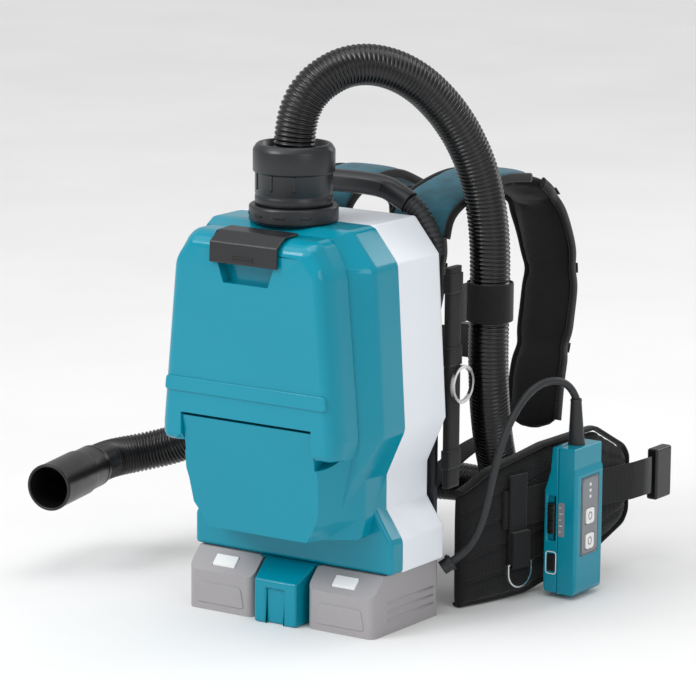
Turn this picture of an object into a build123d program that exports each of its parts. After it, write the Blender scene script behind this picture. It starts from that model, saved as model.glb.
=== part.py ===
from build123d import *
import math
import os

os.makedirs("parts", exist_ok=True)

# Backpack vacuum cleaner. Z is up, the lid faces -Y, the harness is at +Y and z = 0 is the floor.
# The origin is on the bottom face of the centre block. All sizes are in millimetres.

# ---- casing ----
TOP_Z = 384.0  # flat top of the casing
TOP_HALF = 77.0  # half width of that flat top
SHOULDER_DROP = 33.0  # height of the chamfered shoulders
SHOULDER_HALF = 104.0
WIDE_Z = 195.0  # widest level of the upper body
WIDE_HALF = 114.0
WAIST_HALF = 94.0
WAIST_TOP_Z = 150.0
WAIST_LOW_Z = 117.0
BASE_HALF = 113.0
KNEE_Z = 89.0
BASE_Z = 58.0  # underside of the casing, just above the batteries
BACK_Y = 37.0
SEAM_Y = -37.0  # joint between the rear and the front shell
FACET_Y = -75.0
LID_SEAM_Y = -95.0
FRONT_Y = -132.0
BASE_FRONT_Y = -57.0
WALL = 2.5
LID_GAP = 0.6

# ---- lid and its hinge ----
LID_TOP_Z = 379.0
LID_TOP_HALF = 71.0
LID_SHOULDER_HALF = 87.0
LID_HALF = 101.0
LID_LEG_Z = 178.0  # bottom of the two legs beside the lower panel
RIDGE_Z = 203.0  # top edge of the lower panel
RIDGE_GAP = 3.0  # between the lower panel's ledge and the lid
PANEL_HALF = 73.0
PANEL_LOW_HALF = 50.0
PANEL_LOW_Z = 94.0
PANEL_LOW_Y = -114.0
HINGE_Y = -129.0
HINGE_Z = 201.0
PIN_R = 1.5
PIN_PLAY = 0.08
WINDOW_HALF = 74.0  # opening of the bag compartment
WINDOW_LOW_Z = 222.0
WINDOW_HIGH_Z = 354.0
SEAL_WIDTH = 5.0
SEAL_THICK = 2.5

# ---- latch ----
LATCH_HALF = 38.0
LATCH_REAR_Y = -103.0
LATCH_FRONT_Y = -136.0
LATCH_LIP_Z = 353.0
LATCH_THICK = 3.0
LATCH_PIN_Y = -105.0
LATCH_PIN_Z = 376.0
LATCH_GAP = 0.5
WELL_HALF = 25.0
WELL_LOW_Z = 334.0
WELL_DEPTH = 10.0

# ---- batteries and the block between them ----
BATTERY_WIDTH = 75.0
BATTERY_LENGTH = 115.0
BATTERY_PITCH = 137.8
BATTERY_FRONT_Y = -77.0
BATTERY_SLOPE_Y = 19.0
BATTERY_SLOPE_Z = 20.0
BATTERY_GAP = 0.5
TERMINAL_HALF = 20.0
TERMINAL_LENGTH = 70.0
TERMINAL_DROP = 8.0
RAIL_HALF = 25.0
RAIL_THICK = 3.0
SLIDE_PLAY = 0.5
BUTTON_HALF = 13.0
BUTTON_HEIGHT = 16.0
BUTTON_TRAVEL = 4.0
BLOCK_HALF = 24.0
BLOCK_FLARE_HALF = 36.0
BLOCK_FRONT_Y = -85.0
BLOCK_SLOPE_Z = 42.0

# ---- air path ----
PORT_Y = -56.0
COLLAR_HEIGHT = 16.0
CUFF_R = 36.5
CUFF_RING_R = CUFF_R + 2  # the thicker ring at the cuff's top
CUFF_BORE_R = CUFF_R - 5.5
COLLAR_R = CUFF_R + 5.5
CUFF_LOW_GAP = 0.5
CUFF_RING_Z = 431.0
CUFF_TOP_Z = 457.0
CUFF_WEB_Z = 443.0
CUFF_WEB = 3.0
AIR_BORE_R = 16.0
HOSE_D = 39.0
END_CUFF_R = 23.0
END_CUFF_LENGTH = 62.0
END_CUFF_NECK_R = 21.5
END_CUFF_NECK = 30.0
END_CUFF_WALL = 2.5
BAG_CLEARANCE = 5.0

# ---- motor ----
MOTOR_Y = -10.0
MOTOR_Z = 135.0
MOTOR_R = 40.0
MOTOR_LENGTH = 55.0
FAN_R = 34.0
FAN_BLADES = 9
SHAFT_R = 3.0
SHAFT_PLAY = 0.08
FILTER_THICK = 14.0

# ---- harness ----
PLATE_HALF = 98.0
PLATE_THICK = 6.0
PLATE_LOW_Z = 12.0
PLATE_HIGH_Z = 372.0
PAD_THICK = 18.0
STRAP_WIDTH = 62.0
STRAP_THICK = 15.0
STRAP_LEAN = 0.1  # radians that each strap leans outwards on its way down
YOKE_THICK = 12.0
WEB_WIDTH = 25.0
WEB_THICK = 2.0
BELT_THICK = 16.0
BELT_WEB_WIDTH = 38.0
SOFT_GAP = 0.6
HANDLE_R = 11.0
BOOT_R = 9.5
RING_WIRE_R = 1.6
RING_PLAY = 0.8
GRIP_HALF = 61.0  # half length of the carry handle's grip
GRIP_RISE_HALF = 36.0  # half length of its level middle
GRIP_END_Z = 393.0
GRIP_TOP_Z = 407.0
BUCKLE_Y = 330.0  # rear end of the belt webbing
CHEST_Y = 262.0
CHEST_Z = 218.0
BUCKLE_HALF = 22.0  # half width of the chest buckle
RING_R = 17.0
RING_Z = 222.0
SIDE_STRAP_X = 107.0
TAB_X, TAB_Y = 124.5, 133.0  # where the belt rings' tabs sit on the wings
TAB_LOW_Z = 32.0
TAB_HIGH_Z = 68.0
BAND_X, BAND_Y, BAND_Z = 117.0, 104.0, 296.0  # middle of the band that holds the hose
BAND_HEIGHT = 38.0

# ---- control box ----
BOX_X = (152.0, 188.0)
BOX_Y = (153.0, 204.0)
BOX_Z = (5.0, 150.0)
BOX_SPLIT_X = 167.0
KEY_GAP = 0.4
KEY_HALF = 8.0
MEMBRANE_DEPTH = 1.2
SLIDER_ROOM = 5.0  # spare slot at each end of the mode slider
CABLE_D = 7.5
GLAND_R = 7.0
RELIEF_TOP_R = 5.0
RELIEF_LOW_R = 8.5

# ---- free hose: from the swivel cuff over the top, down the right side, round inside the belt ----
HOSE_ROUTE = [
    (0, -56, 446), (0, -56, 478), (11, -41, 512), (36, -6, 531), (66, 35, 518), (92, 70, 478),
    (109, 94, 424), (116, 103, 368), (117, 104, 310), (115, 105, 252), (111, 114, 205),
    (103, 134, 160), (95, 160, 118), (82, 194, 88), (52, 222, 78), (12, 232, 80),
    (-30, 222, 78), (-64, 197, 88), (-90, 164, 122), (-105, 137, 164), (-134, 116, 178),
    (-172, 107, 158), (-210, 102, 128), (-246, 96, 109), (-276, 78, 100), (-293, 54, 97),
    (-294.7, 34, 96), (-291.5, 14.3, 95.4),
]

# ---- control cable: from the gland at the foot of the casing up and over to the control box ----
CABLE_ROUTE = [
    (115, 47, 52), (124, 54, 60), (135, 59, 78), (143, 61, 104), (147, 65, 134), (149, 76, 164),
    (151, 93, 190), (154, 116, 209), (159, 140, 217), (165, 159, 215), (170, 172, 205),
    (171.5, 176.5, 195),
]


def mirrored(points):
    """A closed outline from its right half, listed from the top down."""
    return points + [(-x, z) for x, z in reversed(points)]


def front_plane(y):
    """A sketch plane facing -Y whose local axes are X and Z."""
    return Plane(origin=(0, y, 0), x_dir=(1, 0, 0), z_dir=(0, -1, 0))


def side_plane(x):
    """A sketch plane facing +X whose local axes are Y and Z."""
    return Plane(origin=(x, 0, 0), x_dir=(0, 1, 0), z_dir=(1, 0, 0))


def finish(builder, name):
    """Labels a finished piece and writes its file."""
    builder.part.label = name
    export_step(builder.part, f"parts/{name}.step")


pairs = {
    name: [] for name in (
        "terminal_blocks", "shoulder_yokes", "strap_webbings", "belt_webbings", "chest_straps",
        "handle_boots", "side_straps", "ring_tabs",
    )
}  # fixed twins that share one node, each twin its own solid


def route_radii(points):
    """The bend radius at each inner point of a route: 0.45 of the shorter run over tan(half turn)."""
    radii = []
    for before, here, after in zip(points, points[1:], points[2:]):
        run_in = Vector(*here) - Vector(*before)
        run_out = Vector(*after) - Vector(*here)
        half_turn = math.radians(run_in.get_angle(run_out)) / 2
        radii.append(0.45 * min(run_in.length, run_out.length) / math.tan(half_turn))
    return radii


def casing_outline():
    shoulder_z = TOP_Z - SHOULDER_DROP
    return [
        (TOP_HALF, TOP_Z), (SHOULDER_HALF, shoulder_z), (WIDE_HALF, WIDE_Z),
        (WAIST_HALF, WAIST_TOP_Z), (WAIST_HALF, WAIST_LOW_Z), (BASE_HALF, KNEE_Z),
        (BASE_HALF, BASE_Z),
    ]


def upper_outline():
    """The casing's outline above the base, where the front shell bulges forward."""
    return casing_outline()[:5] + [(WAIST_HALF - 4, PANEL_LOW_Z)]


def seam_outline():
    """The front shell where it meets the lid."""
    shoulder_z = TOP_Z - SHOULDER_DROP
    return [
        (LID_TOP_HALF, LID_TOP_Z), (LID_SHOULDER_HALF, shoulder_z), (LID_HALF, WIDE_Z),
        (WAIST_HALF - 3, WAIST_TOP_Z), (WAIST_HALF - 14, WAIST_LOW_Z), (PANEL_LOW_HALF + 12, PANEL_LOW_Z),
    ]


def lower_rear_outline():
    return [(LID_HALF - 2, RIDGE_Z)] + seam_outline()[3:]


def lower_front_outline():
    return [
        (PANEL_HALF, RIDGE_Z), (PANEL_HALF - 3, WAIST_TOP_Z), (PANEL_HALF - 9, WAIST_LOW_Z),
        (PANEL_LOW_HALF, PANEL_LOW_Z),
    ]


def outline_face(y, outline):
    """The face inside an outline, at depth y and facing -Y."""
    with BuildSketch(front_plane(y)) as section:
        with BuildLine():
            Polyline(*mirrored(outline), close=True)
        make_face()
    return section.sketch.face()


def drawn_in(outline, inset):
    """An outline drawn in by a wall: sideways all round, and down or up at its two ends."""
    points = [(x - 1.15 * inset, z) for x, z in outline]
    points[0] = (points[0][0], points[0][1] - inset)
    points[-1] = (points[-1][0], points[-1][1] + inset)
    return points


def ruled_body(y_a, outline_a, y_b, outline_b):
    """The closed body between two outlines with the same number of points, in flat triangles."""
    ring_a = [Vector(x, y_a, z) for x, z in mirrored(outline_a)]
    ring_b = [Vector(x, y_b, z) for x, z in mirrored(outline_b)]
    faces = [Face(Wire.make_polygon(ring, close=True)) for ring in (ring_a, ring_b)]
    for i in range(len(ring_a)):
        j = (i + 1) % len(ring_a)
        faces.append(Face(Wire.make_polygon([ring_a[i], ring_a[j], ring_b[j]], close=True)))
        faces.append(Face(Wire.make_polygon([ring_a[i], ring_b[j], ring_b[i]], close=True)))
    return Solid(Shell(faces))


def bar_x(y, z, radius, start, end):
    """A round bar along X."""
    with BuildPart(Plane(origin=(start, y, z), z_dir=(1, 0, 0))) as bar:
        Cylinder(radius, end - start, align=(Align.CENTER, Align.CENTER, Align.MIN))
    return bar.part


def block(x, y, z):
    """A box from its lowest and highest value along each axis."""
    with BuildPart() as made:
        with Locations(((x[0] + x[1]) / 2, (y[0] + y[1]) / 2, (z[0] + z[1]) / 2)):
            Box(x[1] - x[0], y[1] - y[0], z[1] - z[0])
    return made.part


# ================= casing =================
with BuildPart() as rear_housing:
    extrude(outline_face(BACK_Y, casing_outline()), amount=BACK_Y - SEAM_Y)
    fillet(rear_housing.faces().sort_by(Axis.Y)[-1].edges(), radius=6)
    hollow = outline_face(BACK_Y - WALL, drawn_in(casing_outline(), WALL))
    extrude(hollow, amount=BACK_Y - SEAM_Y, mode=Mode.SUBTRACT)
finish(rear_housing, "rear_housing")

LEG_SWEEP_R = LID_SEAM_Y - HINGE_Y
PIN_REACH = PANEL_HALF + 8


def front_form(inset):
    """The front shell's solid form, drawn in by inset on every side but the back."""
    upper = drawn_in(upper_outline(), inset)
    with BuildPart() as form:
        extrude(outline_face(SEAM_Y, drawn_in(casing_outline(), inset)), amount=SEAM_Y - BASE_FRONT_Y - inset)
        extrude(outline_face(SEAM_Y, upper), amount=SEAM_Y - FACET_Y)
        add(ruled_body(FACET_Y, upper, LID_SEAM_Y + inset, drawn_in(seam_outline(), inset)))
        add(ruled_body(
            LID_SEAM_Y + inset, drawn_in(lower_rear_outline(), inset),
            FRONT_Y + inset, drawn_in(lower_front_outline(), inset),
        ))
        # the lower panel leans back towards the base
        with BuildSketch(side_plane(-WIDE_HALF - 10)):
            with BuildLine():
                Polyline(
                    (FRONT_Y + inset, RIDGE_Z), (FRONT_Y - 60, RIDGE_Z), (FRONT_Y - 60, PANEL_LOW_Z - 20),
                    (PANEL_LOW_Y + inset, PANEL_LOW_Z - 20), (PANEL_LOW_Y + inset, PANEL_LOW_Z), close=True,
                )
            make_face()
        extrude(amount=2 * WIDE_HALF + 20, mode=Mode.SUBTRACT)
        # the two pockets that the lid's legs swing in
        for side in (-1, 1):
            ends = sorted((side * (PANEL_HALF - inset), side * (LID_HALF + 12)))
            add(bar_x(HINGE_Y, HINGE_Z, LEG_SWEEP_R + inset, *ends), mode=Mode.SUBTRACT)
    return form.part


with BuildPart() as front_housing:
    add(front_form(0))
    add(front_form(WALL), mode=Mode.SUBTRACT)
    with BuildSketch(front_plane(LID_SEAM_Y + 2 * WALL)):
        with Locations((0, (WINDOW_LOW_Z + WINDOW_HIGH_Z) / 2)):
            RectangleRounded(2 * WINDOW_HALF, WINDOW_HIGH_Z - WINDOW_LOW_Z, 12)
    extrude(amount=4 * WALL, mode=Mode.SUBTRACT)
    add(bar_x(HINGE_Y, HINGE_Z, PIN_R, -PIN_REACH, PIN_REACH), mode=Mode.SUBTRACT)
    add(block((-AIR_BORE_R, AIR_BORE_R), (PORT_Y - AIR_BORE_R, PORT_Y + AIR_BORE_R), (TOP_Z - 10, TOP_Z + 1)),
        mode=Mode.SUBTRACT)
finish(front_housing, "front_housing")

with BuildPart() as lid_seal:
    window_height = WINDOW_HIGH_Z - WINDOW_LOW_Z
    with BuildSketch(front_plane(LID_SEAM_Y)):
        with Locations((0, (WINDOW_LOW_Z + WINDOW_HIGH_Z) / 2)):
            RectangleRounded(2 * (WINDOW_HALF + SEAL_WIDTH), window_height + 2 * SEAL_WIDTH, 15)
            RectangleRounded(2 * WINDOW_HALF, window_height, 12, mode=Mode.SUBTRACT)
    extrude(amount=SEAL_THICK)
finish(lid_seal, "lid_seal")

with BuildPart() as lid_hinge_pin:
    add(bar_x(HINGE_Y, HINGE_Z, PIN_R, -PIN_REACH, PIN_REACH))
finish(lid_hinge_pin, "lid_hinge_pin")


# ================= lid =================
def lid_form(inset):
    """The lid's solid form, drawn in by inset on every side but the back."""
    rear_y = LID_SEAM_Y - LID_GAP
    shoulder_z = TOP_Z - SHOULDER_DROP
    rear = [
        (LID_TOP_HALF, LID_TOP_Z), (LID_SHOULDER_HALF, shoulder_z), (LID_HALF, WIDE_Z), (LID_HALF, LID_LEG_Z),
    ]
    middle = [(x - 1, z) for x, z in rear]
    front = [(x - 7, z - (8 if x == LID_TOP_HALF else 0)) for x, z in rear]
    middle_y = FRONT_Y + 12
    with BuildPart() as form:
        add(ruled_body(rear_y, drawn_in(rear, inset), middle_y, drawn_in(middle, inset)))
        add(ruled_body(middle_y, drawn_in(middle, inset), FRONT_Y - 2 + inset, drawn_in(front, inset)))
        add(block(
            (-PANEL_HALF - LID_GAP - inset, PANEL_HALF + LID_GAP + inset), (FRONT_Y - 10, rear_y + 1),
            (LID_LEG_Z - 5, RIDGE_Z + RIDGE_GAP + inset),
        ), mode=Mode.SUBTRACT)
    return form.part


with BuildPart() as lid:
    add(lid_form(0))
    add(lid_form(WALL), mode=Mode.SUBTRACT)
    # the finger well below the latch, with its own wall
    add(block((-WELL_HALF - 14, WELL_HALF + 14), (FRONT_Y - 1, FRONT_Y + WELL_DEPTH + WALL),
              (WELL_LOW_Z - WALL, LATCH_LIP_Z + 14)))
    with BuildSketch(front_plane(FRONT_Y + WELL_DEPTH)):
        with BuildLine():
            Polyline(
                (-WELL_HALF, WELL_LOW_Z), (WELL_HALF, WELL_LOW_Z), (WELL_HALF + 11, LATCH_LIP_Z + 12),
                (-WELL_HALF - 11, LATCH_LIP_Z + 12), close=True,
            )
        make_face()
    extrude(amount=WELL_DEPTH + 12, mode=Mode.SUBTRACT)
    # the legs keep inside the circle that their pockets leave
    for side in (-1, 1):
        ends = sorted((side * (PANEL_HALF - 1), side * (LID_HALF + 2)))
        with BuildSketch(side_plane(ends[0])):
            with Locations((HINGE_Y + LEG_SWEEP_R, HINGE_Z - LEG_SWEEP_R)):
                Rectangle(LEG_SWEEP_R, LEG_SWEEP_R, align=(Align.MAX, Align.MIN))
            with Locations((HINGE_Y, HINGE_Z)):
                Circle(LEG_SWEEP_R - LID_GAP, mode=Mode.SUBTRACT)
        extrude(amount=ends[1] - ends[0], mode=Mode.SUBTRACT)
        knuckle = sorted((side * (PANEL_HALF + LID_GAP), side * (PIN_REACH + 1.5)))
        add(bar_x(HINGE_Y, HINGE_Z, 2 * PIN_R + 0.5, *knuckle))
    add(bar_x(HINGE_Y, HINGE_Z, PIN_R + PIN_PLAY, -PIN_REACH - 0.3, PIN_REACH + 0.3), mode=Mode.SUBTRACT)
    # slots for the latch's lugs and rear edge, and the bosses that hold its pin
    for side in (-1, 1):
        lug_slot = block(sorted((side * 16, side * 24)), (LATCH_PIN_Y - 6, LATCH_REAR_Y + 6),
                         (LID_TOP_Z - 9, LID_TOP_Z + 1))
        add(lug_slot, mode=Mode.SUBTRACT)
        for inner in (11, 25):
            add(block(sorted((side * inner, side * (inner + 4))), (LATCH_PIN_Y - 3, LATCH_PIN_Y + 3),
                      (LATCH_PIN_Z - 3, LID_TOP_Z - 1)))
    add(block((-LATCH_HALF - LATCH_GAP, LATCH_HALF + LATCH_GAP), (LATCH_PIN_Y, LATCH_REAR_Y + 5),
              (LATCH_PIN_Z + 0.5, LID_TOP_Z + 5)), mode=Mode.SUBTRACT)
    add(bar_x(LATCH_PIN_Y, LATCH_PIN_Z, PIN_R, -29, 29), mode=Mode.SUBTRACT)
finish(lid, "lid")

# ================= latch =================
LATCH_TOP_Z = LID_TOP_Z + LATCH_GAP + LATCH_THICK
with BuildPart() as lid_latch:
    with BuildSketch(side_plane(-LATCH_HALF)):
        with BuildLine():
            Polyline(
                (LATCH_REAR_Y, LATCH_TOP_Z), (LATCH_FRONT_Y + 12, LATCH_TOP_Z - 1),
                (LATCH_FRONT_Y - 2, LATCH_TOP_Z - 10), (LATCH_FRONT_Y - 3, LATCH_LIP_Z),
                (LATCH_FRONT_Y, LATCH_LIP_Z), (LATCH_FRONT_Y + 1, LATCH_TOP_Z - 12),
                (LATCH_FRONT_Y + 11, LATCH_TOP_Z - LATCH_THICK), (LATCH_REAR_Y, LATCH_TOP_Z - LATCH_THICK),
                close=True,
            )
        make_face()
    extrude(amount=2 * LATCH_HALF)
    for side in (-1, 1):
        with Locations((side * 20, LATCH_PIN_Y, LATCH_PIN_Z + 1.5)):
            Box(6, 5, 9)
    add(bar_x(LATCH_PIN_Y, LATCH_PIN_Z, PIN_R + PIN_PLAY, -30, 30), mode=Mode.SUBTRACT)
finish(lid_latch, "lid_latch")

with BuildPart() as latch_pin:
    add(bar_x(LATCH_PIN_Y, LATCH_PIN_Z, PIN_R, -26, 26))
finish(latch_pin, "latch_pin")

# ================= centre block, batteries, terminals =================
with BuildPart() as centre_block:
    with BuildSketch(front_plane(BACK_Y)):
        with BuildLine():
            Polyline(*mirrored([
                (BLOCK_FLARE_HALF, BASE_Z), (BLOCK_HALF + 5, BASE_Z - 0.1), (BLOCK_HALF, BLOCK_SLOPE_Z),
                (BLOCK_HALF, 0),
            ]), close=True)
        make_face()
    extrude(amount=BACK_Y - BLOCK_FRONT_Y)
    slope = [
        (BASE_FRONT_Y, BASE_Z + 1), (BLOCK_FRONT_Y - 1, BASE_Z + 1),
        (BLOCK_FRONT_Y - 1, BLOCK_SLOPE_Z), (BLOCK_FRONT_Y, BLOCK_SLOPE_Z),
    ]
    with BuildSketch(side_plane(-BLOCK_FLARE_HALF - 1)):
        with BuildLine():
            Polyline(*slope, close=True)
        make_face()
    extrude(amount=2 * BLOCK_FLARE_HALF + 2, mode=Mode.SUBTRACT)
    with Locations((0, BLOCK_FRONT_Y, 17)):
        Box(20, 6, 34, mode=Mode.SUBTRACT)
finish(centre_block, "centre_block")

battery_high = BASE_Z - BATTERY_GAP
for side, word in ((-1, "left"), (1, "right")):
    middle = side * BATTERY_PITCH / 2
    rear_y = BATTERY_FRONT_Y + BATTERY_LENGTH
    button_y = BATTERY_FRONT_Y + 9.5
    slot_front = rear_y - TERMINAL_LENGTH - 4
    slope_y = BATTERY_FRONT_Y + BATTERY_SLOPE_Y
    slot_y = (slot_front + rear_y) / 2 + 1
    with BuildPart() as battery:
        add(block((middle - BATTERY_WIDTH / 2, middle + BATTERY_WIDTH / 2), (BATTERY_FRONT_Y, rear_y),
                  (0, battery_high)))
        fillet(battery.edges().filter_by(Axis.Z), radius=7)
        with BuildSketch(side_plane(middle - BATTERY_WIDTH / 2 - 1)):
            with BuildLine():
                Polyline(
                    (BATTERY_FRONT_Y - 1, battery_high + 1), (slope_y, battery_high + 1),
                    (slope_y, battery_high),
                    (BATTERY_FRONT_Y - 1, battery_high - BATTERY_SLOPE_Z), close=True,
                )
            make_face()
        extrude(amount=BATTERY_WIDTH + 2, mode=Mode.SUBTRACT)
        # T-slot for the terminal block, open to the back and the top
        with Locations((middle, slot_y, battery_high - TERMINAL_DROP / 2)):
            Box(2 * (TERMINAL_HALF + SLIDE_PLAY), rear_y - slot_front + 2, TERMINAL_DROP + 2 * SLIDE_PLAY,
                mode=Mode.SUBTRACT)
        with Locations((middle, slot_y, battery_high - TERMINAL_DROP - RAIL_THICK / 2)):
            Box(2 * (RAIL_HALF + SLIDE_PLAY), rear_y - slot_front + 2, RAIL_THICK + 2 * SLIDE_PLAY,
                mode=Mode.SUBTRACT)
        # pocket for the release button
        with Locations((middle, button_y, battery_high - BUTTON_HEIGHT / 2)):
            Box(2 * (BUTTON_HALF + KEY_GAP), 8 + 2 * KEY_GAP, BUTTON_HEIGHT + 2 * BUTTON_TRAVEL,
                mode=Mode.SUBTRACT)
    finish(battery, f"battery_{word}")
    with BuildPart() as battery_button:
        add(block((middle - BUTTON_HALF, middle + BUTTON_HALF), (button_y - 4, button_y + 4),
                  (battery_high - BUTTON_HEIGHT + 1, battery_high - 2)))
        with BuildSketch(side_plane(middle - BUTTON_HALF - 1)):
            with BuildLine():
                Polyline(
                    (button_y - 5, battery_high), (button_y + 4.1, battery_high),
                    (button_y + 4.1, battery_high - 4), (button_y - 5, battery_high - 13), close=True,
                )
            make_face()
        extrude(amount=2 * BUTTON_HALF + 2, mode=Mode.SUBTRACT)
    finish(battery_button, f"battery_button_{word}")
    with BuildPart() as terminal_block:
        add(block((middle - TERMINAL_HALF, middle + TERMINAL_HALF), (rear_y - TERMINAL_LENGTH, rear_y - 1),
                  (battery_high - TERMINAL_DROP, BASE_Z)))
        add(block((middle - RAIL_HALF, middle + RAIL_HALF), (rear_y - TERMINAL_LENGTH, rear_y - 1),
                  (battery_high - TERMINAL_DROP - RAIL_THICK + SLIDE_PLAY, battery_high - TERMINAL_DROP)))
    pairs["terminal_blocks"].append(terminal_block.part)


def turned(points, centre=(0, PORT_Y)):
    """A body of revolution about a vertical axis from its half profile in radius and height."""
    with BuildPart() as made:
        with BuildSketch(Plane(origin=(centre[0], centre[1], 0), x_dir=(1, 0, 0), z_dir=(0, -1, 0))):
            with BuildLine():
                Polyline(*points, close=True)
            make_face()
        revolve(axis=Axis((centre[0], centre[1], 0), (0, 0, 1)))
    return made.part


# ================= air path =================
collar_top = TOP_Z + COLLAR_HEIGHT
with BuildPart() as inlet_collar:
    add(turned([
        (CUFF_BORE_R, TOP_Z), (COLLAR_R - 1.5, TOP_Z), (COLLAR_R, TOP_Z + 1.5), (COLLAR_R, collar_top - 1.5),
        (COLLAR_R - 1.5, collar_top), (CUFF_BORE_R, collar_top),
    ]))
finish(inlet_collar, "inlet_collar")

with BuildPart() as hose_cuff:
    add(turned([
        (CUFF_BORE_R, collar_top + CUFF_LOW_GAP), (CUFF_R, collar_top + CUFF_LOW_GAP), (CUFF_R, CUFF_RING_Z),
        (CUFF_RING_R, CUFF_RING_Z), (CUFF_RING_R, CUFF_TOP_Z - 5), (CUFF_RING_R - 4, CUFF_TOP_Z),
        (CUFF_BORE_R, CUFF_TOP_Z), (CUFF_BORE_R - 1, CUFF_WEB_Z + CUFF_WEB),
        (AIR_BORE_R, CUFF_WEB_Z + CUFF_WEB), (AIR_BORE_R, CUFF_WEB_Z), (CUFF_BORE_R, CUFF_WEB_Z - 1),
    ]))
finish(hose_cuff, "hose_cuff")

bag_back = SEAM_Y
bag_front = LID_SEAM_Y - 20
bag_low = WINDOW_LOW_Z + BAG_CLEARANCE
bag_high = WINDOW_HIGH_Z - BAG_CLEARANCE
bag_half = WINDOW_HALF - BAG_CLEARANCE
with BuildPart() as dust_bag:
    add(block((-bag_half, bag_half), (bag_front, bag_back), (bag_low, bag_high - 6)))
    fillet(dust_bag.edges(), radius=12)
finish(dust_bag, "dust_bag")

with BuildPart() as bag_holder:
    add(block((-bag_half + 12, bag_half - 12), (PORT_Y - 34, PORT_Y + 18), (bag_high - 4, bag_high)))
    with Locations((0, PORT_Y, bag_high - 2)):
        Hole(AIR_BORE_R)
finish(bag_holder, "bag_holder")

with BuildPart() as hepa_filter:
    add(block((-bag_half, bag_half), (SEAM_Y + 8, SEAM_Y + 8 + FILTER_THICK), (WIDE_Z, WINDOW_HIGH_Z)))
    with GridLocations(12, 0, 11, 1):
        with Locations((0, SEAM_Y + 8, (WIDE_Z + WINDOW_HIGH_Z) / 2)):
            Box(4, 10, WINDOW_HIGH_Z - WIDE_Z - 20, mode=Mode.SUBTRACT)
finish(hepa_filter, "hepa_filter")

# ================= motor and electronics =================
motor_front = MOTOR_Y - MOTOR_LENGTH / 2
motor_back = MOTOR_Y + MOTOR_LENGTH / 2
with BuildPart() as motor_housing:
    with BuildSketch(front_plane(motor_back)):
        with Locations((0, MOTOR_Z)):
            Circle(MOTOR_R)
    extrude(amount=MOTOR_LENGTH)
    with BuildSketch(front_plane(motor_back - 12)):
        with Locations((0, MOTOR_Z)):
            Circle(MOTOR_R - 3)
    extrude(amount=MOTOR_LENGTH, mode=Mode.SUBTRACT)
    with BuildSketch(front_plane(motor_back)):
        with Locations((0, MOTOR_Z)):
            Circle(SHAFT_R + SHAFT_PLAY)
    extrude(amount=MOTOR_LENGTH, mode=Mode.SUBTRACT)
finish(motor_housing, "motor_housing")

with BuildPart() as fan:
    with BuildSketch(front_plane(motor_back - 14)):
        with Locations((0, MOTOR_Z)):
            Circle(9)
    extrude(amount=34)
    with BuildSketch(front_plane(motor_back - 16)):
        with Locations((0, MOTOR_Z)):
            Circle(FAN_R)
    extrude(amount=2)
    with BuildSketch(front_plane(motor_back - 16)):
        with Locations((0, MOTOR_Z)):
            with PolarLocations(FAN_R / 2 + 4, FAN_BLADES):
                Rectangle(FAN_R - 8, 1.6)
    extrude(amount=14)
finish(fan, "fan")

with BuildPart() as rotor_shaft:
    with BuildSketch(front_plane(motor_back)):
        with Locations((0, MOTOR_Z)):
            Circle(SHAFT_R)
    extrude(amount=14)
finish(rotor_shaft, "rotor_shaft")

with BuildPart() as controller_board:
    add(block((-70, -BLOCK_HALF - 6), (BASE_FRONT_Y + 15, BACK_Y - 12), (BASE_Z + 8, BASE_Z + 10)))
    add(block((-60, -44), (BASE_FRONT_Y + 30, BACK_Y - 30), (BASE_Z + 10, BASE_Z + 22)))
finish(controller_board, "controller_board")

with BuildPart() as housing_screws:
    with BuildSketch(front_plane(BACK_Y + 2)):
        for x, z in ((96, 330), (104, 210), (84, 135), (104, 70)):
            with Locations((-x, z), (x, z)):
                Circle(3.2)
    extrude(amount=2)
finish(housing_screws, "housing_screws")


# ================= harness =================
plate_back = BACK_Y + 2 + PLATE_THICK
with BuildPart() as back_plate:
    with BuildSketch(front_plane(plate_back)):
        with Locations((0, (PLATE_LOW_Z + PLATE_HIGH_Z) / 2)):
            RectangleRounded(2 * PLATE_HALF, PLATE_HIGH_Z - PLATE_LOW_Z, 24)
    extrude(amount=PLATE_THICK)
    with BuildSketch(front_plane(plate_back)):
        with Locations((0, 250), (0, 150)):
            SlotOverall(90, 24)
    extrude(amount=PLATE_THICK, mode=Mode.SUBTRACT)
finish(back_plate, "back_plate")

pad_back = plate_back + PAD_THICK
with BuildPart() as back_pad:
    add(block((-PLATE_HALF + 14, PLATE_HALF - 14), (plate_back, pad_back), (150, PLATE_HIGH_Z - 22)))
    fillet(back_pad.edges().filter_by(Axis.Y), radius=14)
    fillet(back_pad.faces().sort_by(Axis.Y)[-1].edges(), radius=6)
finish(back_pad, "back_pad")

with BuildPart() as lumbar_pad:
    add(block((-PLATE_HALF + 6, PLATE_HALF - 6), (plate_back, pad_back), (0, 140)))
    fillet(lumbar_pad.edges().filter_by(Axis.Y), radius=14)
    fillet(lumbar_pad.faces().sort_by(Axis.Y)[-1].edges(), radius=6)
finish(lumbar_pad, "lumbar_pad")


def band(line_points, thickness, plane, width):
    """A flat band: a line in a plane given a thickness, and a width across the plane."""
    with BuildPart() as made:
        with BuildSketch(plane):
            with BuildLine() as line:
                Spline(*line_points)
            trace(line_width=thickness)
        extrude(amount=width / 2, both=True)
    return made.part


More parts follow.
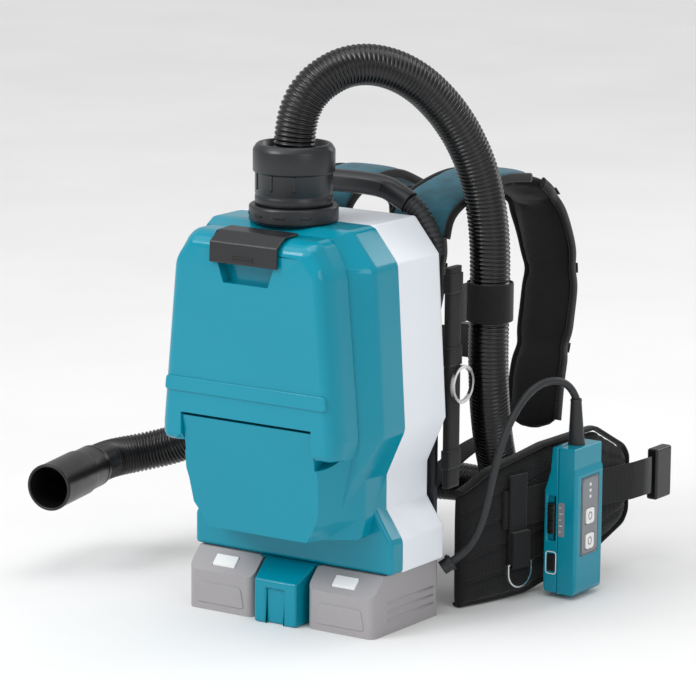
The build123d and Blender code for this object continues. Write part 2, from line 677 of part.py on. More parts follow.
# side view routes of the shoulder harness, as distance back and height
YOKE_ROUTE = [(pad_back + 2, 353), (76, 379), (115, 394), (170, 402), (230, 396)]
STRAP_ROUTE = [(231, 395), (272, 362), (292, 300), (274, 240), (250, 190), (232, 140)]
LEFT_YOKE_ROUTE = [(pad_back + 2, 353), (76, 380), (112, 396), (160, 398), (215, 378)]
LEFT_STRAP_ROUTE = [(216, 377), (256, 345), (276, 290), (270, 235), (250, 186), (232, 140)]
WEB_ROUTE = [(229, 137), (205, 137), (150, 129), (pad_back + 1, 100)]

straps = {}
for side, word, yoke_route, strap_route in (
    (1, "right", YOKE_ROUTE, STRAP_ROUTE), (-1, "left", LEFT_YOKE_ROUTE, LEFT_STRAP_ROUTE),
):
    with BuildPart() as shoulder_yoke:
        add(band(yoke_route, YOKE_THICK, side_plane(side * 58), STRAP_WIDTH + 6))
        fillet(shoulder_yoke.edges().filter_by(Axis.X), radius=3)
    pairs["shoulder_yokes"].append(shoulder_yoke.part)
    lean = Plane(
        origin=(side * 62, 0, 390), x_dir=(0, 1, 0),
        z_dir=(math.cos(STRAP_LEAN), 0, side * math.sin(STRAP_LEAN)),
    )
    with BuildPart() as shoulder_strap:
        local = [(y, (z - 390) / math.cos(STRAP_LEAN)) for y, z in strap_route]
        add(band(local, STRAP_THICK, lean, STRAP_WIDTH))
        add(shoulder_yoke.part, mode=Mode.SUBTRACT)
    straps[side] = shoulder_strap.part
    finish(shoulder_strap, f"shoulder_strap_{word}")
    with BuildPart() as strap_webbing:
        add(band(WEB_ROUTE, WEB_THICK, side_plane(side * 56), WEB_WIDTH))
    pairs["strap_webbings"].append(strap_webbing.part)

# belt wings: a plan route given a thickness, then trimmed to the side outline
WING_ROUTE = [(PLATE_HALF + 7, pad_back + 1), (120, 112), (133, 174), (146, 245), (158, 300)]
WING_SIDE = [(plate_back, 0), (150, 0), (250, 26), (290, 46), (301, 70), (301, 104), (290, 126), (250, 150),
             (174, 145), (100, 130), (72, 112), (plate_back, 112)]


def beside(route, distance, side=1):
    """A plan route moved outwards by a distance."""
    moved = []
    for i, (x, y) in enumerate(route):
        x0, y0 = route[max(i - 1, 0)]
        x1, y1 = route[min(i + 1, len(route) - 1)]
        length = math.hypot(x1 - x0, y1 - y0)
        moved.append((side * (x + distance * (y1 - y0) / length), y - distance * (x1 - x0) / length))
    return moved


for side, word in ((1, "right"), (-1, "left")):
    with BuildPart() as belt_wing:
        add(band(beside(WING_ROUTE, 0, side), BELT_THICK, Plane.XY.offset(75), 152))
        with BuildSketch(side_plane(side * 40)):
            with BuildLine():
                Polyline(*WING_SIDE, close=True)
            make_face()
        extrude(amount=side * 160, mode=Mode.INTERSECT)
    finish(belt_wing, f"belt_wing_{word}")
    web_line = beside(WING_ROUTE[1:], BELT_THICK / 2 + SOFT_GAP + WEB_THICK / 2, side)
    web_line.append((side * (WING_ROUTE[-1][0] + 12), BUCKLE_Y))
    with BuildPart() as belt_webbing:
        add(band(web_line, WEB_THICK, Plane.XY.offset(90), BELT_WEB_WIDTH))
    pairs["belt_webbings"].append(belt_webbing.part)
    buckle_x = side * (WING_ROUTE[-1][0] + 12)
    with BuildPart() as belt_buckle:
        with Locations((buckle_x, BUCKLE_Y + 15 + SOFT_GAP, 90)):
            Box(12, 30, BELT_WEB_WIDTH + 14)
        fillet(belt_buckle.edges(), radius=2.5)
        with Locations((buckle_x, BUCKLE_Y + 21, 90)):
            Box(5, 30, BELT_WEB_WIDTH, mode=Mode.SUBTRACT)
    finish(belt_buckle, "belt_buckle_socket" if side > 0 else "belt_buckle_plug")

# chest strap: two webbings that meet in a buckle in front of the chest
for side, word in ((1, "right"), (-1, "left")):
    start = side * (BUCKLE_HALF + SOFT_GAP)
    stop = side * 40
    with BuildPart() as chest_strap:
        add(block(sorted((start, stop)), (CHEST_Y - 1, CHEST_Y + 1), (CHEST_Z - 12, CHEST_Z + 12)))
        add(straps[side], mode=Mode.SUBTRACT)
    pairs["chest_straps"].append(chest_strap.part)
with BuildPart() as chest_buckle_socket:
    add(block((2, BUCKLE_HALF), (CHEST_Y - 5, CHEST_Y + 5), (CHEST_Z - 17, CHEST_Z + 17)))
    fillet(chest_buckle_socket.edges().filter_by(Axis.Y), radius=4)
    mouth = block((1, BUCKLE_HALF - 5), (CHEST_Y - 3, CHEST_Y + 3), (CHEST_Z - 12, CHEST_Z + 12))
    add(mouth, mode=Mode.SUBTRACT)
finish(chest_buckle_socket, "chest_buckle_socket")
with BuildPart() as chest_buckle_plug:
    add(block((-BUCKLE_HALF, 1), (CHEST_Y - 5, CHEST_Y + 5), (CHEST_Z - 17, CHEST_Z + 17)))
    fillet(chest_buckle_plug.edges().filter_by(Axis.Y), radius=4)
    add(block((1, BUCKLE_HALF - 7), (CHEST_Y - 2, CHEST_Y + 2), (CHEST_Z - 11, CHEST_Z + 11)))
finish(chest_buckle_plug, "chest_buckle_plug")

# carry handle: a grip along X over the back of the casing, with a ribbed boot at each end
with BuildPart() as carry_handle:
    with BuildLine() as grip_line:
        FilletPolyline(
            (-GRIP_HALF, 47, GRIP_END_Z), (-GRIP_RISE_HALF, 45, GRIP_TOP_Z),
            (GRIP_RISE_HALF, 45, GRIP_TOP_Z), (GRIP_HALF, 47, GRIP_END_Z), radius=50,
        )
    with BuildSketch(Plane(origin=grip_line.line @ 0, z_dir=grip_line.line % 0)):
        Circle(HANDLE_R)
    sweep()
finish(carry_handle, "carry_handle")
for side, word in ((1, "right"), (-1, "left")):
    with BuildPart() as handle_boot:
        boot_start = Vector(side * GRIP_HALF, 47, GRIP_END_Z) + Vector(side * 0.9, 0, -0.5)
        with BuildLine() as boot_line:
            FilletPolyline(boot_start, (side * 80, 47, 377), (side * 90, 47, 344), radius=22)
        with BuildSketch(Plane(origin=boot_line.line @ 0, z_dir=boot_line.line % 0)):
            Circle(BOOT_R)
        sweep()
        for neighbour in (back_plate, back_pad, carry_handle):
            add(neighbour.part, mode=Mode.SUBTRACT)
    pairs["handle_boots"].append(handle_boot.part)

# side straps down the edges of the back plate, each with a tab and a steel ring
for side, word in ((1, "right"), (-1, "left")):
    x = side * SIDE_STRAP_X
    with BuildPart() as side_strap:
        add(block((x - 4, x + 4), (BACK_Y + 5, BACK_Y + 29), (122, 336)))
        fillet(side_strap.edges().filter_by(Axis.Z), radius=3)
    pairs["side_straps"].append(side_strap.part)
    ring_x = x + side * (4 + RING_WIRE_R + RING_PLAY + 1)
    hinge_y = BACK_Y + 7
    with BuildPart() as ring_side:
        with BuildSketch(side_plane(ring_x)):
            with Locations((hinge_y + RING_R, RING_Z)):
                Circle(RING_R + RING_WIRE_R)
                Circle(RING_R - RING_WIRE_R, mode=Mode.SUBTRACT)
        extrude(amount=RING_WIRE_R, both=True)
    finish(ring_side, f"ring_side_{word}")

# belt rings hang from webbing tabs on the wings
tab_turn = math.atan2(WING_ROUTE[2][0] - WING_ROUTE[1][0], WING_ROUTE[2][1] - WING_ROUTE[1][1])
for side, word in ((1, "right"), (-1, "left")):
    out = BELT_THICK / 2 + 3 * SOFT_GAP + WEB_THICK + 2.5
    face = Plane(
        origin=(side * (TAB_X + out), TAB_Y - 0.25 * out, 0),
        x_dir=(-side * math.sin(tab_turn), -math.cos(tab_turn), 0), z_dir=(0, 0, 1),
    )
    with BuildPart(face) as ring_tab:
        with Locations((0, 0, (TAB_LOW_Z + TAB_HIGH_Z) / 2)):
            Box(24, 2 * (RING_WIRE_R + RING_PLAY) + 3, TAB_HIGH_Z - TAB_LOW_Z)
        with Locations(Location((0, 0, TAB_LOW_Z + 3.6), (0, 90, 0))):
            Cylinder(RING_WIRE_R + RING_PLAY, 30, mode=Mode.SUBTRACT)
    pairs["ring_tabs"].append(ring_tab.part)
    wire = Plane(origin=face.origin + Vector(0, 0, TAB_LOW_Z + 3.6), x_dir=face.x_dir, z_dir=face.y_dir)
    down = 1 if wire.y_dir.Z > 0 else -1
    with BuildPart() as ring_belt:
        with BuildSketch(wire):
            with BuildLine() as ring_line:
                Line((-15, 0), (15, 0))
                Line((15, 0), (15, -down * 6))
                ThreePointArc((15, -down * 6), (0, -down * 22), (-15, -down * 6))
                Line((-15, -down * 6), (-15, 0))
            make_face()
            offset(amount=RING_WIRE_R, kind=Kind.ARC)
            with BuildLine():
                add(ring_line.line)
            offset(amount=-RING_WIRE_R, kind=Kind.ARC, mode=Mode.SUBTRACT)
        extrude(amount=RING_WIRE_R, both=True)
    finish(ring_belt, f"ring_belt_{word}")

# hose band: a loop round the hose that is sewn to the back plate's edge
with BuildPart() as hose_band:
    with BuildSketch(Plane.XY.offset(BAND_Z - BAND_HEIGHT / 2)):
        with Locations((BAND_X, BAND_Y)):
            Circle(HOSE_D / 2 + 2 * SOFT_GAP + WEB_THICK)
        with Locations((BAND_X - 15.8, BAND_Y - 33)):
            Rectangle(2, 40)
        with Locations((BAND_X, BAND_Y)):
            Circle(HOSE_D / 2 + 2 * SOFT_GAP, mode=Mode.SUBTRACT)
    extrude(amount=BAND_HEIGHT)
finish(hose_band, "hose_band")

# ================= control box =================
box_mid_y = (BOX_Y[0] + BOX_Y[1]) / 2


def box_outline(z_low, z_high):
    """The box seen from -Y, with a narrower waist above the middle and chamfered ends."""
    (x0, x1) = BOX_X
    return [
        (x0 + 3, z_low), (x1 - 3, z_low), (x1, z_low + 5), (x1, z_high - 26), (x1 - 3, z_high - 20),
        (x1 - 3, z_high), (x0 + 8, z_high), (x0 + 6, z_high - 24), (x0, z_high - 44), (x0, z_low + 5),
    ]


with BuildPart() as box_form:
    with BuildSketch(front_plane(BOX_Y[1])):
        with BuildLine():
            Polyline(*box_outline(*BOX_Z), close=True)
        make_face()
    extrude(amount=BOX_Y[1] - BOX_Y[0])
    fillet(box_form.edges().filter_by(Axis.Z).group_by(Axis.X)[-1], radius=3)
with BuildPart() as box_hollow:
    add(block((BOX_X[0] + 9, BOX_X[1] - 5.5), (BOX_Y[0] + WALL, BOX_Y[1] - WALL),
              (BOX_Z[0] + 6, BOX_Z[1] - 6)))

panel_low, panel_high = BOX_Z[0] + 38, BOX_Z[1] - 30
key_z = {"power": panel_low + 38, "stop": panel_low + 13}
membrane_y = (BOX_Y[0] + 10, BOX_Y[1] - 9)
slider_z = BOX_Z[0] + 74
wireless_z = BOX_Z[0] + 30


def key_block(z, rear, half):
    """A square block at a key's place, from rear behind the box's face to 1 mm in front of it."""
    return block((BOX_X[1] + rear, BOX_X[1] + 1), (box_mid_y - half, box_mid_y + half), (z - half, z + half))


with BuildPart() as control_case_front:
    add(box_form.part)
    add(box_hollow.part, mode=Mode.SUBTRACT)
    add(block((BOX_X[0] - 1, BOX_SPLIT_X), (BOX_Y[0] - 1, BOX_Y[1] + 1), (BOX_Z[0] - 1, BOX_Z[1] + 1)),
        mode=Mode.SUBTRACT)
    add(block((BOX_X[1] - MEMBRANE_DEPTH, BOX_X[1] + 1), membrane_y, (panel_low, panel_high)),
        mode=Mode.SUBTRACT)
    for z in key_z.values():
        add(key_block(z, -8, KEY_HALF + 2), mode=Mode.SUBTRACT)
finish(control_case_front, "control_case_front")

with BuildPart() as control_case_back:
    add(box_form.part)
    add(box_hollow.part, mode=Mode.SUBTRACT)
    add(block((BOX_SPLIT_X, BOX_X[1] + 1), (BOX_Y[0] - 1, BOX_Y[1] + 1), (BOX_Z[0] - 1, BOX_Z[1] + 1)),
        mode=Mode.SUBTRACT)
    with Locations((BOX_X[0] + 8.5, BOX_Y[0], slider_z)):
        Box(8 + 2 * KEY_GAP, 8, 34 + 2 * SLIDER_ROOM, mode=Mode.SUBTRACT)
    with Locations((BOX_X[0] + 8.5, BOX_Y[0], wireless_z)):
        Box(8 + 2 * KEY_GAP, 8, 16 + 2 * KEY_GAP, mode=Mode.SUBTRACT)
finish(control_case_back, "control_case_back")

with BuildPart() as control_panel:
    add(block((BOX_X[1] - MEMBRANE_DEPTH, BOX_X[1] + 0.3), membrane_y, (panel_low, panel_high)))
    fillet(control_panel.edges().filter_by(Axis.X), radius=5)
    for z in key_z.values():
        add(key_block(z, -8, KEY_HALF), mode=Mode.SUBTRACT)
finish(control_panel, "control_panel")
for word, z in key_z.items():
    with BuildPart() as button:
        add(key_block(z, -3.5, KEY_HALF - KEY_GAP))
        fillet(button.edges().filter_by(Axis.X), radius=3)
    finish(button, f"button_{word}")
with BuildPart() as mode_slider:
    with Locations((BOX_X[0] + 8.5, BOX_Y[0] + 0.5, slider_z)):
        Box(8, 5, 30)
finish(mode_slider, "mode_slider")
with BuildPart() as wireless_button:
    with Locations((BOX_X[0] + 8.5, BOX_Y[0] + 1.5, wireless_z)):
        Box(8, 4, 16)
finish(wireless_button, "wireless_button")

with BuildPart() as belt_clip:
    add(block((BOX_X[0] - 2.4, BOX_X[0]), (box_mid_y - 12, box_mid_y + 12), (40, 96)))
finish(belt_clip, "belt_clip")

# ================= cable =================
cable_start = Vector(*CABLE_ROUTE[0])
cable_dir = (Vector(*CABLE_ROUTE[1]) - cable_start).normalized()
with BuildPart() as cable_gland:
    with BuildSketch(Plane(origin=cable_start - cable_dir * 12, z_dir=cable_dir)):
        Circle(GLAND_R)
    extrude(amount=12)
    with BuildSketch(Plane(origin=cable_start - cable_dir * 4, z_dir=cable_dir)):
        Circle(GLAND_R + 1.5)
    extrude(amount=3)
finish(cable_gland, "cable_gland")


def cord_tube(points, diameter, name):
    """A tube along straight runs joined by tangent arcs, checked against section times length."""
    radii = route_radii(points)
    print(name, "bend radii", [round(r, 1) for r in radii])
    with BuildPart() as tube:
        with BuildLine() as route:
            FilletPolyline(*points, radius=radii)
        with BuildSketch(Plane(origin=route.line @ 0, z_dir=route.line % 0)):
            Circle(diameter / 2)
        sweep()
    expected = math.pi * diameter**2 / 4 * route.wire().length
    print(name, "length", round(route.wire().length, 1), "volume over section times length",
          round(tube.part.volume / expected, 4))
    return tube, route


cable, cable_line = cord_tube(CABLE_ROUTE, CABLE_D, "cable")
finish(cable, "cable")

cable_end = Vector(*CABLE_ROUTE[-1])
with BuildPart() as cable_strain_relief:
    relief_foot = Vector(172, 178, BOX_Z[1])
    relief_dir = (cable_end - relief_foot).normalized()
    with BuildSketch(Plane(origin=relief_foot, z_dir=relief_dir)):
        Circle(RELIEF_LOW_R)
    with BuildSketch(Plane(origin=cable_end, z_dir=relief_dir)):
        Circle(RELIEF_TOP_R)
    loft()
    split(bisect_by=Plane.XY.offset(BOX_Z[1]), keep=Keep.TOP)
    add(cable.part, mode=Mode.SUBTRACT)
finish(cable_strain_relief, "cable_strain_relief")

hose, hose_line = cord_tube(HOSE_ROUTE, HOSE_D, "hose")
finish(hose, "hose")

# the cuff on the hose's free end
mouth_dir = hose_line.line % 1
neck_start = hose_line.line @ 1
with BuildPart() as hose_end_cuff:
    with BuildSketch(Plane(origin=neck_start, z_dir=mouth_dir)):
        Circle(END_CUFF_NECK_R)
    extrude(amount=END_CUFF_NECK)
    with BuildSketch(Plane(origin=neck_start + mouth_dir * END_CUFF_NECK, z_dir=mouth_dir)):
        Circle(END_CUFF_R)
    extrude(amount=END_CUFF_LENGTH)
    with BuildSketch(Plane(origin=neck_start + mouth_dir * 2, z_dir=mouth_dir)):
        Circle(END_CUFF_R - END_CUFF_WALL)
    extrude(amount=END_CUFF_NECK + END_CUFF_LENGTH, mode=Mode.SUBTRACT)
finish(hose_end_cuff, "hose_end_cuff")

for name, twins in pairs.items():
    with BuildPart() as group:
        add(twins)
    finish(group, name)
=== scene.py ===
"""Looks of the backpack vacuum cleaner, laid out as an add-on and run as a script."""

import math

import bmesh
import bpy
import numpy as np
from mathutils import Matrix, Vector
from mathutils.bvhtree import BVHTree


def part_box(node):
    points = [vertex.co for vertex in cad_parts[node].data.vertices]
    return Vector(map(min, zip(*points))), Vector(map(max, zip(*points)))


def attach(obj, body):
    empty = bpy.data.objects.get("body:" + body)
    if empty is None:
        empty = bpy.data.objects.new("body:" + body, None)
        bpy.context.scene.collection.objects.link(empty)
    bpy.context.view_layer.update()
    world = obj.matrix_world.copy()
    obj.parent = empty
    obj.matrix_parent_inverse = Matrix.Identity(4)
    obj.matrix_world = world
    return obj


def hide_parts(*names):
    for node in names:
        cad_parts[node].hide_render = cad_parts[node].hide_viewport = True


bl_info = {
    "name": "Backpack Vacuum Looks",
    "version": (1, 0, 0),
    "blender": (4, 5, 0),
    "location": "View3D > Sidebar > Vacuum",
    "description": "Builds the casing, hose, harness and control box of a backpack vacuum cleaner",
    "category": "Object",
}

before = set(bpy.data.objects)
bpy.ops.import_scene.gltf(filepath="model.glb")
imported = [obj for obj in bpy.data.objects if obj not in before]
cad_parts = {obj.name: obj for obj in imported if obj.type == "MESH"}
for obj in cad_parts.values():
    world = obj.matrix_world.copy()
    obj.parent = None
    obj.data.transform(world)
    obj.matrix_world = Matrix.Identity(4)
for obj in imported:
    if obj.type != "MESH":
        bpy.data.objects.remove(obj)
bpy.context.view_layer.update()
MM = 0.001
ROOT_BODY = "pack"

# the hose's and the cable's control points, in metres, from the exit to the far end
HOSE_ROUTE = np.array([
    (0, -56, 446), (0, -56, 478), (11, -41, 512), (36, -6, 531), (66, 35, 518), (92, 70, 478),
    (109, 94, 424), (116, 103, 368), (117, 104, 310), (115, 105, 252), (111, 114, 205),
    (103, 134, 160), (95, 160, 118), (82, 194, 88), (52, 222, 78), (12, 232, 80),
    (-30, 222, 78), (-64, 197, 88), (-90, 164, 122), (-105, 137, 164), (-134, 116, 178),
    (-172, 107, 158), (-210, 102, 128), (-246, 96, 109), (-276, 78, 100), (-293, 54, 97),
    (-294.7, 34, 96), (-291.5, 14.3, 95.4),
]) * MM
CABLE_ROUTE = np.array([
    (115, 47, 52), (124, 54, 60), (135, 59, 78), (143, 61, 104), (147, 65, 134), (149, 76, 164),
    (151, 93, 190), (154, 116, 209), (159, 140, 217), (165, 159, 215), (170, 172, 205),
    (171.5, 176.5, 195),
]) * MM


# ---------------------------------------------------------------- settings
class VacuumSettings(bpy.types.PropertyGroup):
    """Sizes and colours that a user would change."""

    casing_colour: bpy.props.FloatVectorProperty(
        name="Casing colour", description="Colour of the glossy front shell and lid",
        subtype="COLOR", size=3, default=(0.0, 0.245, 0.345), min=0, max=1)
    shell_colour: bpy.props.FloatVectorProperty(
        name="Rear shell colour", description="Colour of the pale rear shell",
        subtype="COLOR", size=3, default=(0.78, 0.82, 0.87), min=0, max=1)
    yoke_colour: bpy.props.FloatVectorProperty(
        name="Yoke colour", description="Colour of the coated cloth on the shoulder yokes",
        subtype="COLOR", size=3, default=(0.028, 0.125, 0.17), min=0, max=1)
    hose_diameter: bpy.props.FloatProperty(
        name="Hose diameter", description="Outer diameter over the ribs",
        default=39 * MM, min=0.03, max=0.05, unit="LENGTH")
    rib_pitch: bpy.props.FloatProperty(
        name="Rib pitch", description="Distance between two ribs of the hose",
        default=4.1 * MM, min=0.002, max=0.01, unit="LENGTH")
    cable_diameter: bpy.props.FloatProperty(
        name="Cable diameter", description="Outer diameter of the control cable",
        default=7.5 * MM, min=0.004, max=0.012, unit="LENGTH")
    edge_radius: bpy.props.FloatProperty(
        name="Edge radius", description="Rounding of the moulded casing edges",
        default=3.5 * MM, min=0.0005, max=0.006, unit="LENGTH")


def settings():
    return bpy.context.scene.vacuum_settings


# ---------------------------------------------------------------- mesh helpers
def linked(name, data):
    """A new object that is in the scene."""
    piece = bpy.data.objects.new(name, data)
    bpy.context.collection.objects.link(piece)
    return piece


def shade_smooth(mesh):
    mesh.polygons.foreach_set("use_smooth", np.ones(len(mesh.polygons), bool))


def line_length(path):
    return np.linalg.norm(np.diff(path, axis=0), axis=1).sum()


def tangents(path):
    """The unit direction at each point of a path."""
    tangent = np.gradient(path, axis=0)
    tangent /= np.linalg.norm(tangent, axis=1)[:, None]
    return tangent


def grid_piece(name, points, close_u=False, close_v=False, smooth=True):
    """A mesh over a grid of points[u, v], closed round either way, with a UV map in metres."""
    nu, nv = points.shape[:2]
    iu = np.arange(nu if close_u else nu - 1)
    iv = np.arange(nv if close_v else nv - 1)
    a, b = np.meshgrid(iu, iv, indexing="ij")
    a2, b2 = (a + 1) % nu, (b + 1) % nv
    quads = np.stack([a * nv + b, a2 * nv + b, a2 * nv + b2, a * nv + b2], -1).reshape(-1, 4)
    mesh = bpy.data.meshes.new(name)
    mesh.from_pydata(points.reshape(-1, 3).tolist(), [], quads.tolist())
    step_u = np.linalg.norm(np.roll(points, -1, 0) - points, axis=2).mean(1)
    step_v = np.linalg.norm(np.roll(points, -1, 1) - points, axis=2).mean(0)
    along = np.concatenate([[0], np.cumsum(step_u)])
    across = np.concatenate([[0], np.cumsum(step_v)])
    corner_u = np.stack([along[a], along[a + 1], along[a + 1], along[a]], -1).reshape(-1)
    corner_v = np.stack([across[b], across[b], across[b + 1], across[b + 1]], -1).reshape(-1)
    layer = mesh.uv_layers.new(name="UVMap")
    layer.data.foreach_set("uv", np.stack([corner_u, corner_v], -1).astype(np.float32).ravel())
    piece = linked(name, mesh)
    if smooth:
        shade_smooth(mesh)
    return piece


def close_ends(piece, rings, count):
    """A face over the first and the last of a grid's rings of count points, with normals outwards."""
    work = bmesh.new()
    work.from_mesh(piece.data)
    work.verts.ensure_lookup_table()
    for start in (0, (rings - 1) * count):
        work.faces.new([work.verts[start + i] for i in range(count)])
    work.to_mesh(piece.data)
    work.free()
    return tidy_normals(piece)


def tidy_normals(piece, merge=1e-6):
    """Merges doubles and turns every face outwards."""
    work = bmesh.new()
    work.from_mesh(piece.data)
    bmesh.ops.remove_doubles(work, verts=work.verts, dist=merge)
    bmesh.ops.recalc_face_normals(work, faces=work.faces)
    work.to_mesh(piece.data)
    work.free()
    return piece


def add_modifier(piece, kind, **values):
    made = piece.modifiers.new(kind.title(), kind)
    for key, value in values.items():
        setattr(made, key, value)
    return made


# the distances from the middle plane between which the edges by the lid's legs stay sharp
LEG_CORNER = (72.5 * MM, 75 * MM)
SHARP_ANGLE = math.radians(17)
ROUNDING_STEPS = 6


def outer_edges(work, shortest, rim, radius, nearest):
    """The long convex edges on the outside: a ray along the mean of an edge's two face normals meets
    nothing. Edges in the plane of a thin rim, at depth rim, are left out, and so are edges whose
    neighbours are too short for a rounding of that radius, or that come nearer than nearest to the
    middle plane."""
    tree = BVHTree.FromBMesh(work)
    found = []
    for edge in work.edges:
        if len(edge.link_faces) != 2 or not edge.is_convex or edge.calc_length() < shortest:
            continue
        a, b = (v.co for v in edge.verts)
        if min(e.calc_length() for v in edge.verts for e in v.link_edges) < 0.7 * radius:
            continue
        if min(abs(a.x), abs(b.x)) < nearest or LEG_CORNER[0] < (abs(a.x) + abs(b.x)) / 2 < LEG_CORNER[1]:
            continue
        on_rim = rim is not None and max(abs(a.y - rim), abs(b.y - rim)) < 0.7 * MM
        if on_rim or edge.calc_face_angle() < math.radians(8):
            continue
        out = (edge.link_faces[0].normal + edge.link_faces[1].normal).normalized()
        if tree.ray_cast((a + b) / 2 + out * 0.1 * MM, out)[0] is None:
            found.append(edge)
    return found


def softened_copy(node, name, radius, broad=0.0, rim=None, merge_faces=True, nearest=0.0):
    """A piece from a CAD node's own form: its triangles merged into flat faces, its long outer edges
    rounded by broad and the others by radius."""
    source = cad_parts[node]
    piece = linked(name, source.data.copy())
    work = bmesh.new()
    work.from_mesh(piece.data)
    bmesh.ops.remove_doubles(work, verts=work.verts, dist=1e-6)
    if merge_faces:
        bmesh.ops.dissolve_limit(work, angle_limit=math.radians(1.0), verts=work.verts, edges=work.edges)
    bmesh.ops.recalc_face_normals(work, faces=work.faces)
    if broad:
        work.normal_update()
        marked = work.edges.layers.int.new("rounded")
        for edge in outer_edges(work, 8 * MM, rim, broad, nearest):
            edge[marked] = 1
        # the faces are split into triangles first, so that none turns concave as its edges move in
        bmesh.ops.triangulate(work, faces=[f for f in work.faces if len(f.verts) > 4],
                              ngon_method="EAR_CLIP")
        chosen = [edge for edge in work.edges if edge[marked]]
        if chosen:
            bmesh.ops.bevel(work, geom=chosen, offset=broad, segments=ROUNDING_STEPS, profile=0.5,
                            affect="EDGES", clamp_overlap=False, loop_slide=False)
        work.edges.layers.int.remove(marked)
        bmesh.ops.dissolve_limit(work, angle_limit=math.radians(0.3), verts=work.verts, edges=work.edges)
        bmesh.ops.triangulate(work, faces=[f for f in work.faces if len(f.verts) > 4],
                              ngon_method="EAR_CLIP")
    work.to_mesh(piece.data)
    work.free()
    shade_smooth(piece.data)
    piece.data.set_sharp_from_angle(angle=SHARP_ANGLE)
    add_modifier(piece, "BEVEL", width=radius, segments=2, limit_method="ANGLE",
                 angle_limit=math.radians(32), use_clamp_overlap=True, harden_normals=True)
    add_modifier(piece, "WEIGHTED_NORMAL", keep_sharp=True, weight=80)
    return piece


def resampled(points, count):
    """Points at equal steps of arc length along a polyline."""
    steps = np.linalg.norm(np.diff(points, axis=0), axis=1)
    at = np.concatenate([[0], np.cumsum(steps)])
    want = np.linspace(0, at[-1], count)
    return np.stack([np.interp(want, at, points[:, i]) for i in range(3)], 1), at[-1]


def frames_along(path):
    """Tangent, side and up at each point: each side is the last one made square to the new tangent."""
    tangent = tangents(path)
    side = np.empty_like(path)
    first = np.cross(tangent[0], (0.3, 0.2, 0.93))
    side[0] = first / np.linalg.norm(first)
    for i in range(1, len(path)):
        square = side[i - 1] - tangent[i] * (side[i - 1] @ tangent[i])
        side[i] = square / np.linalg.norm(square)
    return tangent, side, np.cross(tangent, side)


def nurbs_route(name, points, bevel=0.0):
    """A cord's own curve: an open quadratic NURBS spline with the route as its control points."""
    curve = bpy.data.curves.new(name, "CURVE")
    curve.dimensions = "3D"
    curve.resolution_u = 12
    spline = curve.splines.new("NURBS")
    spline.points.add(len(points) - 1)
    flat = np.concatenate([points, np.ones((len(points), 1))], 1)
    spline.points.foreach_set("co", flat.astype(np.float32).ravel())
    spline.order_u = 3
    spline.use_endpoint_u = True
    curve.bevel_depth = bevel
    curve.bevel_resolution = 6
    curve.use_fill_caps = True
    piece = linked(name, curve)
    return piece


def route_points(points):
    """The points that Blender itself gives for a route's spline."""
    guide = nurbs_route("route_guide", points)
    bpy.context.view_layer.update()
    mesh = bpy.data.meshes.new_from_object(guide)
    found = np.empty(len(mesh.vertices) * 3)
    mesh.vertices.foreach_get("co", found)
    bpy.data.meshes.remove(mesh)
    bpy.data.objects.remove(guide)
    return found.reshape(-1, 3)


def smooth_step(low, high, value):
    """0 below low, 1 above high, and an S-curve between."""
    t = np.clip((value - low) / (high - low), 0, 1)
    return t * t * (3 - 2 * t)


# ---------------------------------------------------------------- materials
class Nodes:
    """A small helper that adds and joins shader nodes."""

    def __init__(self, name):
        self.material = bpy.data.materials.new(name)
        self.material.use_nodes = True
        self.tree = self.material.node_tree
        self.shader = self.tree.nodes["Principled BSDF"]

    def add(self, kind, inputs=None, **values):
        node = self.tree.nodes.new(kind)
        for key, value in values.items():
            setattr(node, key, value)
        for key, value in (inputs or {}).items():
            if isinstance(value, bpy.types.NodeSocket):
                self.tree.links.new(value, node.inputs[key])
            else:
                node.inputs[key].default_value = value
        return node

    def set(self, **values):
        for key, value in values.items():
            socket = self.shader.inputs[key.replace("_", " ")]
            if isinstance(value, bpy.types.NodeSocket):
                self.tree.links.new(value, socket)
            else:
                socket.default_value = value

    def object_place(self):
        return self.add("ShaderNodeTexCoord").outputs["Object"]

    def uv_place(self):
        return self.add("ShaderNodeUVMap", uv_map="UVMap").outputs["UV"]

    def noise(self, place, scale, detail=3.0, roughness=0.5):
        made = self.add("ShaderNodeTexNoise", {
            "Vector": place, "Scale": scale, "Detail": detail, "Roughness": roughness})
        return made.outputs["Fac"]

    def ramp(self, value, low, high):
        """Two colours or greys blended by a value."""
        made = self.add("ShaderNodeValToRGB", {"Fac": value})
        made.color_ramp.elements[0].position = 0.3
        made.color_ramp.elements[1].position = 0.7
        made.color_ramp.elements[0].color = (*low, 1)
        made.color_ramp.elements[1].color = (*high, 1)
        return made.outputs["Color"]

    def between(self, value, low, high):
        made = self.add("ShaderNodeMapRange", {"Value": value, "To Min": low, "To Max": high})
        return made.outputs["Result"]

    def maths(self, operation, first, second=0.0):
        made = self.add("ShaderNodeMath", {0: first, 1: second}, operation=operation)
        return made.outputs["Value"]

    def bump(self, height, strength, distance):
        made = self.add("ShaderNodeBump", {"Height": height, "Strength": strength, "Distance": distance})
        self.set(Normal=made.outputs["Normal"])


def shade(colour, factor):
    return tuple(min(1.0, c * factor) for c in colour)


def moulded(name, colour, low, high, coat=0.0, grain=900.0, grain_height=0.00002, mottle=0.05, shine=0.5):
    """Moulded plastic: slight mottling, uneven gloss and a fine moulding grain."""
    n = Nodes(name)
    place = n.object_place()
    broad = n.noise(place, 9.0, 4.0)
    n.set(
        Base_Color=n.ramp(broad, shade(colour, 1 - mottle), shade(colour, 1 + mottle)),
        Roughness=n.between(n.noise(place, 45.0, 5.0, 0.6), low, high),
        Coat_Weight=coat, Coat_Roughness=0.04, IOR=1.5, Specular_IOR_Level=shine)
    n.bump(n.noise(place, grain, 2.0), 0.25, grain_height)
    return n.material


